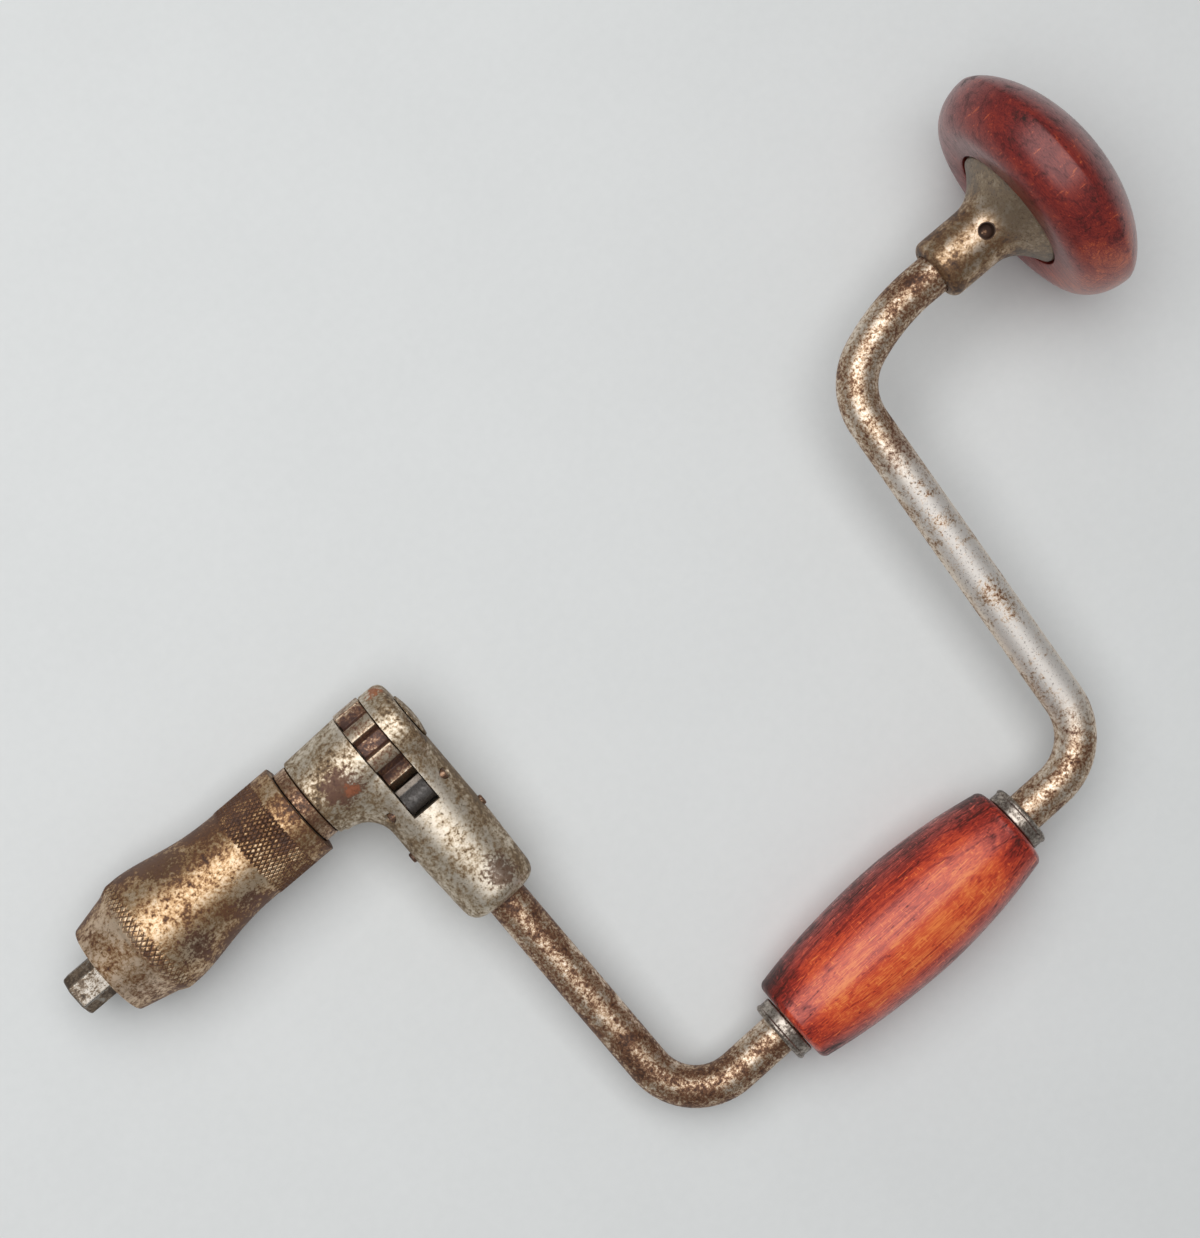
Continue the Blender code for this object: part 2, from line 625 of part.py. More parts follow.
def make_shell(main):
    bore = THREAD_RADIUS + FIT
    cone_end = SHELL_NOSE + (CAVITY_RADIUS - NOSE_HOLE_RADIUS) / math.tan(CONE_ANGLE)
    cavity_end = cone_end + CAVITY_LENGTH
    inside = [(NOSE_HOLE_RADIUS, SHELL_NOSE), (CAVITY_RADIUS, cone_end), (CAVITY_RADIUS, cavity_end),
              (bore, cavity_end + CAVITY_TAPER), (bore, SHELL_REAR)]
    turned("chuck_shell", shell_outside() + inside, main, STEEL)


def jaw_nose_outline(flip):
    """Half an octagon, with its flat back away from the parting plane."""
    chamfer = (JAW_WIDTH - JAW_FLAT) / 2
    points = [(JAW_WIDTH / 2, JAW_GAP / 2), (JAW_WIDTH / 2, JAW_BACK - chamfer), (JAW_FLAT / 2, JAW_BACK)]
    points += [(-x, y) for x, y in reversed(points)]
    return [(x, flip * y) for x, y in points]


def make_jaw(side, flip, tool, main):
    """A jaw: an octagonal nose on a turned cone, notched for the bit and slotted for the spring."""
    crown = SHELL_NOSE + JAW_CONE_LENGTH
    crown_radius = NOSE_HOLE_RADIUS + JAW_CONE_LENGTH * math.tan(CONE_ANGLE) - FIT
    shoulder = crown + JAW_CROWN_LENGTH + JAW_SHOULDER_LENGTH
    cone = [(0.0, JAW_TAIL_END), (JAW_TAIL_RADIUS, JAW_TAIL_END), (JAW_TAIL_RADIUS, shoulder),
            (crown_radius, crown + JAW_CROWN_LENGTH), (crown_radius, crown), (NOSE_HOLE_RADIUS - FIT, SHELL_NOSE),
            (0.0, SHELL_NOSE)]
    half = turned("jaw_cone_" + side, cone, main)
    tall = 2 * CAVITY_RADIUS
    keep = block("jaw_half_" + side, (JAW_TIP, -JAW_WIDTH / 2, min(flip * JAW_GAP / 2, flip * tall)),
                 (JAW_TAIL_END + FIT, JAW_WIDTH / 2, max(flip * JAW_GAP / 2, flip * tall)), tool)
    combine(half, keep, 'INTERSECT')
    length = NOTCH_LENGTH + JAW_SHOULDER_LENGTH
    bar = outline("jaw_" + side, [jaw_nose_outline(flip)], length, main)
    bar.location.z = JAW_TIP + length / 2
    jaw = as_mesh(bar, STEEL)
    bevel = jaw.modifiers.new("Edges", 'BEVEL')
    bevel.width = JAW_EDGE
    bevel.segments = 1
    bevel.limit_method = 'ANGLE'
    bevel.angle_limit = math.radians(60)
    join(jaw, half)
    notch = NOTCH_DEPTH + JAW_GAP / 2
    vee = outline("jaw_notch_" + side, [[(-2 * notch, -flip * notch), (2 * notch, -flip * notch), (0.0, flip * notch)]],
                  2 * NOTCH_LENGTH, main)
    vee.location.z = JAW_TIP
    roof = JAW_LEAF_RADIUS + LEAF / 2 + FIT
    width = JAW_LEAF_WIDTH / 2 + FIT
    pocket = block("jaw_pocket_" + side, (JAW_SLOT_END - JAW_LEAF_LENGTH - JAW_TRAVEL, -width, -roof),
                   (JAW_SLOT_END, width, roof), tool)
    cut(jaw, as_mesh(vee), pocket)


def make_jaws(tool, main):
    for side, flip in (("upper", 1.0), ("lower", -1.0)):
        make_jaw(side, flip, tool, main)
    bend = JAW_SLOT_END - FIT - LEAF / 2 - JAW_LEAF_RADIUS
    front = JAW_SLOT_END - JAW_LEAF_LENGTH
    path = [(front, JAW_LEAF_RADIUS)]
    path += arc((bend, 0.0), JAW_LEAF_RADIUS, math.pi / 2, -math.pi / 2, 8)
    path += [(front, -JAW_LEAF_RADIUS)]
    flat = axis_empty("jaw_spring_plane", tool, (0.0, 0.0, 0.0), ((1, 0, 0), (0, 0, 1), (0, -1, 0)))
    leaf("jaw_spring", path, JAW_LEAF_WIDTH, LEAF, flat, DARK_STEEL)


def grip_radius(along):
    """The grip's barrel: one parabola each side of its belly."""
    if along < GRIP_BELLY_AT:
        share = (GRIP_BELLY_AT - along) / (GRIP_BELLY_AT - GRIP_EDGE)
        return GRIP_BELLY_RADIUS - (GRIP_BELLY_RADIUS - GRIP_LOWER_RADIUS) * share ** 2
    share = (along - GRIP_BELLY_AT) / (GRIP_LENGTH - GRIP_EDGE - GRIP_BELLY_AT)
    return GRIP_BELLY_RADIUS - (GRIP_BELLY_RADIUS - GRIP_UPPER_RADIUS) * share ** 2


def grip_profile():
    upper = arc((GRIP_UPPER_RADIUS - GRIP_EDGE, GRIP_LENGTH - GRIP_EDGE), GRIP_EDGE, math.pi / 2, 0.0, 3)
    lower = arc((GRIP_LOWER_RADIUS - GRIP_EDGE, GRIP_EDGE), GRIP_EDGE, 0.0, -math.pi / 2, 3)
    steps = 12
    span = GRIP_LENGTH - 2 * GRIP_EDGE
    heights = [GRIP_LENGTH - GRIP_EDGE - span * i / steps for i in range(1, steps)]
    bore = ROD_RADIUS + FIT
    return upper + [(grip_radius(height), height) for height in heights] + lower + [(bore, 0.0), (bore, GRIP_LENGTH)]


def collar_profile():
    """A plain ring with eased outer edges."""
    outer = ROD_RADIUS + COLLAR_HEIGHT
    bore = ROD_RADIUS + PIN_FIT
    upper = arc((outer - COLLAR_EDGE, COLLAR_LENGTH - COLLAR_EDGE), COLLAR_EDGE, math.pi / 2, 0.0, 3)
    lower = arc((outer - COLLAR_EDGE, COLLAR_EDGE), COLLAR_EDGE, 0.0, -math.pi / 2, 3)
    return upper + lower + [(bore, 0.0), (bore, COLLAR_LENGTH)]


def make_grip(tool):
    lower, upper = grip_line()
    along = (upper - lower).normalized()
    across = Vector((0.0, 0.0, 1.0))
    start = COLLAR_START + COLLAR_LENGTH + FIT
    axis = axis_empty("grip_axis", tool, lower + along * start, (across, along.cross(across), along))
    turned("grip", grip_profile(), axis, GRIP_WOOD)
    places = (("lower", -COLLAR_LENGTH - FIT), ("upper", GRIP_LENGTH + FIT))
    for side, place in places:
        collar = turned("grip_collar_" + side, collar_profile(), axis, DARK_STEEL)
        collar.location.z = place


def flare(head):
    """The quill's outer side from its flange rim to its straight barrel."""
    points = []
    steps = 7
    for i in range(steps, -1, -1):
        share = i / steps
        swell = (FLANGE_RADIUS - QUILL_RADIUS) * share ** FLARE_POWER
        points.append((QUILL_RADIUS + swell, head["flange"] - FLARE_LENGTH * (1 - share)))
    return points


def make_quill(main, head):
    nose = arc((QUILL_RADIUS - QUILL_NOSE, head["quill"] + QUILL_NOSE), QUILL_NOSE, 0.0, -math.pi / 2, 4)
    bore = ROD_RADIUS + FIT
    neck = NECK_RADIUS + FIT
    profile = [(HUB_RADIUS, head["hub_end"]), (HUB_RADIUS, head["flange_back"]),
               (FLANGE_RADIUS, head["flange_back"])]
    profile += flare(head) + nose
    profile += [(bore, head["quill"]), (bore, head["seat"]), (neck, head["seat"]), (neck, head["hub_end"])]
    quill = turned("head_quill", profile, main, NICKEL)
    across = axis_empty("oil_hole_axis", main, (0.0, 0.0, head["flange"] - OIL_HOLE_SETBACK),
                        ((0, 0, 1), (1, 0, 0), (0, 1, 0)))
    cut(quill, rod("oil_hole", OIL_HOLE_RADIUS, ROD_RADIUS / 2, 2 * QUILL_RADIUS, across))


def knob_outside(head):
    """A flat face ring, an elliptical shoulder and a low dome, from the crown to the face."""
    steps = 9
    points = []
    for i in range(steps + 1):
        share = math.sin(math.pi / 2 * i / steps)
        rise = KNOB_BACK * (1.0 - share ** 2) ** KNOB_BACK_POWER
        points.append((KNOB_RADIUS * share, head["widest"] + rise))
    shoulder = KNOB_RADIUS - KNOB_FACE_RADIUS
    for i in range(1, steps + 1):
        angle = math.pi / 2 * i / steps
        points.append((KNOB_FACE_RADIUS + shoulder * math.cos(angle), head["widest"] - KNOB_FRONT * math.sin(angle)))
    return points


def make_knob(main, head):
    recess = FLANGE_RADIUS + RECESS_GAP
    floor = head["flange_back"] + FIT
    cavity = HUB_RADIUS + FIT
    end = head["neck_end"] + CAVITY_ROOM
    profile = knob_outside(head) + [(recess, head["face"]), (recess, floor), (cavity, floor), (cavity, end), (0.0, end)]
    turned("head_knob", profile, main, KNOB_WOOD)


def make_head_fastening(main, head):
    bore = NECK_RADIUS + PIN_FIT
    front = head["shoulder"] + FIT
    turned("head_thrust_washer", [(ROD_RADIUS, front + WASHER_THICKNESS), (ROD_RADIUS, front), (bore, front),
                                  (bore, front + WASHER_THICKNESS)], main, DARK_STEEL, SMALL_STEPS)
    back = head["back_washer"]
    turned("head_back_washer", [(BACK_WASHER_RADIUS, back + WASHER_THICKNESS), (BACK_WASHER_RADIUS, back),
                                (bore, back), (bore, back + WASHER_THICKNESS)], main, DARK_STEEL)
    corner = NUT_ACROSS_FLATS / 2 / math.cos(math.pi / 6)
    hexagon = arc((0.0, 0.0), corner, 0.0, 2 * math.pi * 5 / 6, 5)
    hole = arc((0.0, 0.0), bore, 0.0, 2 * math.pi * (1 - 1 / SMALL_STEPS), SMALL_STEPS - 1)
    nut = outline("head_nut", [hexagon, hole], NUT_HEIGHT, main, DARK_STEEL)
    nut.location.z = head["nut"] + NUT_HEIGHT / 2


def lie_down(tool, head):
    """Lay the tool on its head, its chuck and its grip, and centre it over the origin."""
    knob = knob_outside(head)
    shell = shell_outside()
    slope = 0.0
    for _ in range(4):
        knob_r, knob_x = max(knob, key=lambda point: point[0] - point[1] * slope)
        shell_r, shell_x = max(shell, key=lambda point: point[0] - point[1] * slope)
        slope = (knob_r - shell_r) / (knob_x - shell_x)
    lower, upper = grip_line()
    along = (upper - lower).normalized()
    belly = lower + along * (COLLAR_START + COLLAR_LENGTH + FIT + GRIP_BELLY_AT)
    pitch = math.atan(slope)
    drop = shell_r + (belly.x - shell_x) * slope - GRIP_BELLY_RADIUS
    roll = math.asin(drop / -belly.y)
    tool.rotation_euler = (Euler((0.0, -pitch, 0.0)).to_matrix() @ Euler((roll, 0.0, 0.0)).to_matrix()).to_euler()
    bpy.context.view_layer.update()
    graph = bpy.context.evaluated_depsgraph_get()
    low = Vector((math.inf,) * 3)
    high = -low
    for obj in PARTS.objects:
        if obj.type == 'EMPTY':
            continue
        mesh = obj.evaluated_get(graph).to_mesh()
        for vertex in mesh.vertices:
            place = obj.matrix_world @ vertex.co
            low = Vector(map(min, low, place))
            high = Vector(map(max, high, place))
    middle = (low + high) / 2
    tool.location = (-middle.x, -middle.y, -low.z)


clear_scene()
PARTS = collection("ratchet_brace")
CUTTERS = collection("ratchet_brace_cutters")
HEAD = head_stack()
TOOL = axis_empty("tool_frame", None, (0.0, 0.0, 0.0), ((1, 0, 0), (0, 1, 0), (0, 0, 1)))
MAIN = axis_empty("main_axis", TOOL, (0.0, 0.0, 0.0), ((0, 1, 0), (0, 0, 1), (1, 0, 0)))
SOCKET = axis_empty("socket_axis", TOOL, (0.0, 0.0, 0.0), ((0, 0, 1), (1, 0, 0), (0, 1, 0)))

make_sweep(TOOL, MAIN, HEAD)
make_ratchet_box(TOOL, MAIN, SOCKET)
make_pins(MAIN)
make_gear(MAIN)
make_pawls(MAIN)
make_spindle(TOOL, MAIN)
make_shell(MAIN)
make_jaws(TOOL, MAIN)
make_grip(TOOL)
make_quill(MAIN, HEAD)
make_knob(MAIN, HEAD)
make_head_fastening(MAIN, HEAD)
lie_down(TOOL, HEAD)
bpy.context.view_layer.update()
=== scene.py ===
"""Looks of a ratchet brace: a bent steel sweep with a wooden grip, a ratchet box with a two-jaw chuck,
and a wooden head, laid on a pale table and seen from above. Sizes are in millimetres along the tool's own
axes: X from the chuck to the head, Y away from the grip, Z up. A finish bounds a coordinate in metres."""
import json
import math

import bmesh
import bpy
from mathutils import Matrix, Vector, noise


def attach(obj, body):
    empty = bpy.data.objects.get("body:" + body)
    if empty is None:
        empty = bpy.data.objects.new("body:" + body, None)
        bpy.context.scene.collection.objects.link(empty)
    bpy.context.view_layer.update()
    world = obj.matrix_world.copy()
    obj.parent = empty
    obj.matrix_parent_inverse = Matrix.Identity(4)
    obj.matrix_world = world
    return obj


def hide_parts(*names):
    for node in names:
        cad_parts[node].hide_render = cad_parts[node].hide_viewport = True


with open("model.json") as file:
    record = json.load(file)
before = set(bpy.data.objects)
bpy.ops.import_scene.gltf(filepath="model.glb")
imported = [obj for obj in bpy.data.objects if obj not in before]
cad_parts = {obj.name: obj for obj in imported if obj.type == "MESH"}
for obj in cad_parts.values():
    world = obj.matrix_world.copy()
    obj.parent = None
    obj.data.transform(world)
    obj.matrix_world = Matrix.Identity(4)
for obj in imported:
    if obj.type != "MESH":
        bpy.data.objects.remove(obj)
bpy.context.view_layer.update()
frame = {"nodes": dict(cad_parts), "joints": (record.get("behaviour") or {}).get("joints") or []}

# The tool's own axes
# The spindle's hinge gives the main axis, and the two pawl pivots, one above the other, give the upright.
joints = {joint["name"]: joint for joint in frame["joints"]}
main_axis = Vector(joints["spindle_spin"]["axis"]).normalized()
upright = Vector(joints["pawl_upper_swing"]["pos_m"]) - Vector(joints["pawl_lower_swing"]["pos_m"])
upright = (upright - main_axis * upright.dot(main_axis)).normalized()
tool = Matrix((main_axis, upright.cross(main_axis), upright)).transposed().to_4x4()
tool.translation = Vector(joints["spindle_spin"]["pos_m"])
MM = 0.001


# Sweep
# One round steel bar, bent cold into the crank and swaged to a neck at the head. The lower arm and the
# bends are brown with age, and hands have kept the long upper arm silvery.
ROD_RADIUS = 5.65
NECK_RADIUS = 4.2
ROD_START = -23.75
SHOULDER = 214.697
NECK_END = 238.097
OIL_HOLE = 209.297
GRIP_TILT = math.radians(1.4)
ARM_SLANT = math.radians(4.5)
GRIP_FOOT = Vector((0.0, -128.7865, 0.0))
GRIP_HEAD = Vector((146.2, -125.2135, 0.0))


def bench_object(name, work):
    """A new object from a mesh drawn in millimetres along the tool's axes."""
    bmesh.ops.recalc_face_normals(work, faces=work.faces)
    mesh = bpy.data.meshes.new(name)
    work.to_mesh(mesh)
    work.free()
    piece = bpy.data.objects.new(name, mesh)
    bpy.context.scene.collection.objects.link(piece)
    return piece


def skin(work, rings, closed=False):
    """Faces between rings of vertices; a ring of one vertex is a pole."""
    pairs = list(zip(rings, rings[1:]))
    if closed:
        pairs.append((rings[-1], rings[0]))
    for one, two in pairs:
        count = max(len(one), len(two))
        for i in range(count):
            k = (i + 1) % count
            corners = [one[i % len(one)], one[k % len(one)], two[k % len(two)], two[i % len(two)]]
            work.faces.new(list(dict.fromkeys(corners)))


def shaped(piece, kind, **settings):
    """Add a modifier to a piece and keep its result as the mesh."""
    modifier = piece.modifiers.new(kind, kind)
    for key, value in settings.items():
        setattr(modifier, key, value)
    bpy.context.view_layer.update()
    graph = bpy.context.evaluated_depsgraph_get()
    mesh = bpy.data.meshes.new_from_object(piece.evaluated_get(graph))
    piece.modifiers.clear()
    piece.data = mesh
    return piece


def combined(piece, other, operation):
    """Join another solid to a piece, or cut it away, and clear the other off the bench."""
    shaped(piece, 'BOOLEAN', object=other, operation=operation, solver='EXACT')
    bpy.data.objects.remove(other)


def laid(piece, material, place=tool, sharp=38.0):
    """Note where each point lies on the bench, move the piece to its place in the tool and finish it."""
    mesh = piece.data
    mesh.transform(Matrix.Scale(MM, 4))
    spot = mesh.attributes.new("spot", 'FLOAT_VECTOR', 'POINT')
    flat = [value for vertex in mesh.vertices for value in vertex.co]
    spot.data.foreach_set("vector", flat)
    mesh.transform(place)
    mesh.materials.clear()
    mesh.materials.append(material)
    mesh.shade_smooth()
    mesh.set_sharp_from_angle(angle=math.radians(sharp))
    return piece


class Tone:
    """One socket of a finish, with the sums and nodes that shape it."""

    def __init__(self, socket):
        self.socket = socket

    def node(self, kind, settings, sockets, output=0):
        tree = self.socket.id_data
        made = tree.nodes.new(kind)
        for key, value in settings.items():
            if key == "stops":
                ramp = made.color_ramp.elements
                while len(ramp) < len(value):
                    ramp.new(0.5)
                for element, (at, colour) in zip(ramp, value):
                    element.position = at
                    element.color = (*colour, 1.0)
            else:
                setattr(made, key, value)
        for key, value in sockets.items():
            if isinstance(value, Tone):
                tree.links.new(value.socket, made.inputs[key])
            else:
                made.inputs[key].default_value = value
        return Tone(made.outputs[output])

    def math(self, operation, one, two):
        return self.node("ShaderNodeMath", {"operation": operation}, {0: one, 1: two})

    def size(self):
        """The value without its sign."""
        return self.math('ABSOLUTE', self, 0.0)

    def folded(self):
        """How far the value is from the nearest whole number."""
        return self.math('PINGPONG', self, 0.5)

    def __add__(self, other):
        return self.math('ADD', self, other)

    __radd__ = __add__

    def __sub__(self, other):
        return self.math('SUBTRACT', self, other)

    def __rsub__(self, other):
        return self.math('SUBTRACT', other, self)

    def __mul__(self, other):
        return self.math('MULTIPLY', self, other)

    __rmul__ = __mul__

    def clip(self, low, high):
        """0 below low and 1 above high, with a smooth rise between."""
        return self.node("ShaderNodeMapRange", {"interpolation_type": 'SMOOTHSTEP'},
                         {"Value": self, "From Min": low, "From Max": high})

    def between(self, one, two):
        """A colour from one to two, by this share."""
        ends = [end if isinstance(end, Tone) else (*end, 1.0) for end in (one, two)]
        return self.node("ShaderNodeMix", {"data_type": 'RGBA'}, {0: self, 6: ends[0], 7: ends[1]}, 2)

    def stretched(self, x, y, z):
        return self.node("ShaderNodeVectorMath", {"operation": 'MULTIPLY'}, {0: self, 1: (x, y, z)})

    def shifted(self, x, y, z):
        return self.node("ShaderNodeVectorMath", {"operation": 'ADD'}, {0: self, 1: (x, y, z)})

    def length(self):
        return self.node("ShaderNodeVectorMath", {"operation": 'LENGTH'}, {0: self}, 1)

    def part(self, axis):
        return self.node("ShaderNodeSeparateXYZ", {}, {0: self}, axis)

    def grain(self, size, detail=4.0, rough=0.6):
        """Noise whose marks are about size millimetres across."""
        sockets = {"Vector": self, "Scale": 1.0 / (size * MM), "Detail": detail, "Roughness": rough}
        return self.node("ShaderNodeTexNoise", {}, sockets)

    def near(self, place, inner, outer):
        """1 within inner of a place and 0 beyond outer, in millimetres."""
        away = self.node("ShaderNodeVectorMath", {"operation": 'DISTANCE'},
                         {0: self, 1: tuple(value * MM for value in place)}, 1)
        return 1 - away.clip(inner * MM, outer * MM)


def new_finish(name, own=False, **constants):
    """A material's shader node, with its even values set, and the tone of the place on the bench, or of the
    object's own place."""
    material = bpy.data.materials.new(name)
    material.use_nodes = True
    nodes = material.node_tree.nodes
    shader = nodes["Principled BSDF"]
    for key, value in constants.items():
        shader.inputs[key.replace("_", " ")].default_value = value
    if own:
        return material, shader, Tone(nodes.new("ShaderNodeTexCoord").outputs["Object"])
    spot = nodes.new("ShaderNodeAttribute")
    spot.attribute_name = "spot"
    return material, shader, Tone(spot.outputs["Vector"])


def feed(shader, **tones):
    """Link the tones that vary over a surface to the shader's sockets."""
    for key, tone in tones.items():
        shader.id_data.links.new(tone.socket, shader.inputs[key.replace("_", " ")])


def raised(height, strength, depth):
    """A bump from a height, depth millimetres deep."""
    sockets = {"Height": height, "Strength": strength, "Distance": depth * MM}
    return height.node("ShaderNodeBump", {}, sockets, "Normal")


def aged_steel(name, tones, lean, seed, rough=0.38, coarse=1.0, grit=0.9, marks=(), own=False):
    """Steel mottled through four tones, from bright to pitted; lean is how far it has gone, even or by
    place, and where it is set by place it can also carry painted light and shade. A mark is a stain, or
    a painted shade or highlight, of its own: a share by place and mottling, a colour, and how much rougher
    it is."""
    material, shader, spot = new_finish(name, own)
    moved = spot.shifted(seed, seed * 0.7, -seed)
    drift = moved.grain(21.0 * coarse, 3.0)
    cloud = moved.grain(5.2 * coarse, 6.0, 0.70)
    speck = moved.grain(1.15 * coarse, 5.0, 0.74)
    pit = moved.grain(0.6 * coarse, 3.0, 0.65)
    field = speck * grit + cloud * (1.32 - grit) + drift * 0.38
    gone = (field + (lean(spot) if callable(lean) else lean)) * 3.1 - 2.18
    stops = list(zip((0.08, 0.42, 0.66, 1.0), tones))
    colour = gone.node("ShaderNodeValToRGB", {"stops": stops}, {0: gone})
    dull = gone.clip(0.2, 1.0) * 0.12 + rough
    bare = 1 - gone.clip(0.40, 0.85) * 0.75
    for place, stain, matt in marks:
        share = place(spot, field)
        colour = share.between(colour, stain)
        dull = dull + share * matt
        bare = bare - share * (matt * 2.5)
    eaten = (speck * 0.4 + pit * 0.7).clip(0.61, 0.68)
    colour = (eaten * 0.6).between(colour, tones[3])
    feed(shader, Base_Color=colour, Roughness=dull + eaten * 0.1, Metallic=bare,
         Normal=raised(cloud * 0.35 + speck * 0.5 - eaten * 0.3, 0.35, 0.2))
    return material


def blot(place, reach):
    """The share of a stain round a place, with its edge broken by the mottling."""
    def share(spot, field):
        close = spot.near(place, 0.0, reach * 1.8)
        return (close * 0.5 + field * 1.8).clip(1.68, 1.90) * close.clip(0.0, 0.3) * 0.8
    return share


def low_painted_shade(low, high, most):
    """The share of painted shade, a dark film over what lies low, clear above high, in metres over the
    axis.
    It is thin between the specks, so that a side that turns into view is mottled too."""
    def share(spot, field):
        return (1 - spot.part("Z").clip(low, high)) * (field.clip(0.74, 0.98) * 0.85 + 0.15) * most
    return share


def beyond(axis, low, high, most):
    """The share of an even film that comes in along an axis, from low to high."""
    def share(spot, _):
        return spot.part(axis).clip(low, high) * most
    return share


def upper_arm(spot):
    """1 on the straight upper arm and 0 off it."""
    across = spot.part("Y")
    before_head = 1 - across.clip(-0.046, -0.020)
    past_grip = across.clip(-0.122, -0.104)
    return spot.part("X").clip(0.124, 0.146) * before_head * past_grip


def sweep_wear_and_painted_light(spot):
    """Least stained on the upper arm, with its top painted lighter as a highlight, most on the lower arm,
    and black under the oil hole as a ring of painted shadow.
    """
    lower = (1 - spot.part("X").clip(0.012, 0.030)) * (1 - spot.part("Y").clip(-0.075, -0.055))
    # A ring of painted shadow on the bar under the oil hole, lighter at its middle.
    under_hole = (OIL_HOLE, 0.0, ROD_RADIUS)
    hole_shadow = spot.near(under_hole, 2.2, 2.7) - spot.near(under_hole, 0.7, 1.1) * 0.9
    # The top of the upper arm is painted lighter, as a highlight.
    clean = upper_arm(spot) * (spot.part("Z").clip(0.0, 0.0035) * 0.06 + 0.075)
    return 0.01 - clean + lower * 0.04 + hole_shadow * 0.5


def frosted_and_lit(spot, field):
    """The share of bare frosted metal on the upper arm, painted whiter only along the top as a highlight.
    """
    return upper_arm(spot) * spot.part("Z").clip(0.0012, 0.0045) * (1 - field.clip(0.84, 1.02)) * 0.82


def bow_line(step):
    """Points of the bar's centreline with the heading at each, from the socket to the head's shoulder."""
    foot_turn = math.pi / 2 + GRIP_TILT
    head_turn = math.pi / 2 - ARM_SLANT - GRIP_TILT
    ease = math.radians(21.5)
    foot_bend, head_bend, neck_bend, ease_bend = 16.4, 17.6, 17.5, 62.0
    climb = neck_bend * (math.cos(ease) - math.sin(ARM_SLANT)) + ease_bend * (1.0 - math.cos(ease))
    foot_cut = foot_bend * math.tan(foot_turn / 2)
    head_cut = head_bend * math.tan(head_turn / 2)
    runs = [(0.0, -GRIP_FOOT.y + ROD_START - foot_cut), (foot_bend, foot_turn),
            (0.0, (GRIP_HEAD - GRIP_FOOT).length - foot_cut - head_cut), (head_bend, head_turn),
            (0.0, (-GRIP_HEAD.y - climb) / math.cos(ARM_SLANT) - head_cut),
            (neck_bend, ease + ARM_SLANT - math.pi / 2), (ease_bend, -ease)]
    place = Vector((0.0, ROD_START, 0.0))
    heading = -math.pi / 2
    line = [(place.copy(), heading)]
    for radius, amount in runs:
        length = abs(amount) * radius if radius else amount
        count = max(2, round(length / step))
        turn = amount / count if radius else 0.0
        chord = 2 * radius * math.sin(abs(turn) / 2) if radius else length / count
        for _ in range(count):
            heading += turn / 2
            place = place + Vector((math.cos(heading), math.sin(heading), 0.0)) * chord
            heading += turn / 2
            line.append((place.copy(), heading))
    line.append((Vector((SHOULDER, 0.0, 0.0)), 0.0))
    return line


work = bmesh.new()
rings = []
SIDES = 40
STATION_GAP = 1.6
stations = [(place, heading, ROD_RADIUS) for place, heading in bow_line(STATION_GAP)]
stations += [(Vector((along, 0.0, 0.0)), 0.0, NECK_RADIUS) for along in (SHOULDER, NECK_END)]
for place, heading, radius in stations:
    side = Vector((-math.sin(heading), math.cos(heading), 0.0))
    ring = []
    for i in range(SIDES):
        angle = 2 * math.pi * i / SIDES
        out = side * math.cos(angle) + Vector((0.0, 0.0, math.sin(angle)))
        ring.append(work.verts.new(place + out * radius))
    rings.append(ring)
skin(work, [[work.verts.new(stations[0][0])]] + rings + [[work.verts.new(stations[-1][0])]])
sweep = bench_object("sweep_bar", work)
SWEEP_TONES = ((0.86, 0.75, 0.63), (0.55, 0.39, 0.255), (0.20, 0.086, 0.040), (0.060, 0.024, 0.012))
# The first mark is painted shade, a brown film over what lies low.
SWEEP_MARKS = ((low_painted_shade(-0.002, 0.0040, 0.6), (0.15, 0.08, 0.045), 0.05),
               # Bare frosted metal on the upper arm, whiter only along its top: a painted highlight.
               (frosted_and_lit, (0.72, 0.69, 0.66), 0.16))
sweep_steel = aged_steel("sweep_steel", SWEEP_TONES, sweep_wear_and_painted_light, seed=0.0, rough=0.44, coarse=0.75,
                         grit=0.8, marks=SWEEP_MARKS)
laid(sweep, sweep_steel)
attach(sweep, "frame")
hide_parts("sweep")


# Ratchet box
# A casting: a barrel for the spindle, a socket for the sweep, a fillet between them, and a slot sawn
# through for the wheel and the pawls. Nickel once covered it, and it has worn to grey with stains; the
# olive-brown over what lies low is painted shade.
SLOT_HALF = 4.3
BOX_BACK = 11.3
SLOT_END = -20.85
BARREL_FRONT = -21.9
BARREL_RADIUS = 11.7
CHEEK_RADIUS = 12.45
CHEEK_EASE = 3.2
SOCKET_RADIUS = 11.6
SOCKET_STRAIGHT = 33.0
SOCKET_END = 53.0
SOCKET_END_RADIUS = 10.7
FILLET_RADIUS = 8.6
SPINDLE_BORE = 7.3
TAIL_BORE = 4.7
ROD_BORE = 5.95
ROD_SEAT = 23.45
PAWL_REACH = 16.95
PAWL_RISE = 7.0
PIN_RADIUS = 1.45
PIN_PLAY = 0.15
SWEEP_PIN_AT = 29.15
TURN = 96


def eased(profile, steps=5):
    """A profile of (along, radius, ease) points with each corner rounded by its ease."""
    out = []
    for i, (along, radius, ease) in enumerate(profile):
        here = Vector((along, radius))
        if ease <= 0.0:
            out.append(here)
            continue
        before = Vector(profile[i - 1][:2])
        after = Vector(profile[(i + 1) % len(profile)][:2])
        start = here + (before - here).normalized() * ease
        end = here + (after - here).normalized() * ease
        for k in range(steps + 1):
            t = k / steps
            out.append(start * (1 - t) ** 2 + here * 2 * t * (1 - t) + end * t * t)
    return [(point.x, point.y) for point in out]


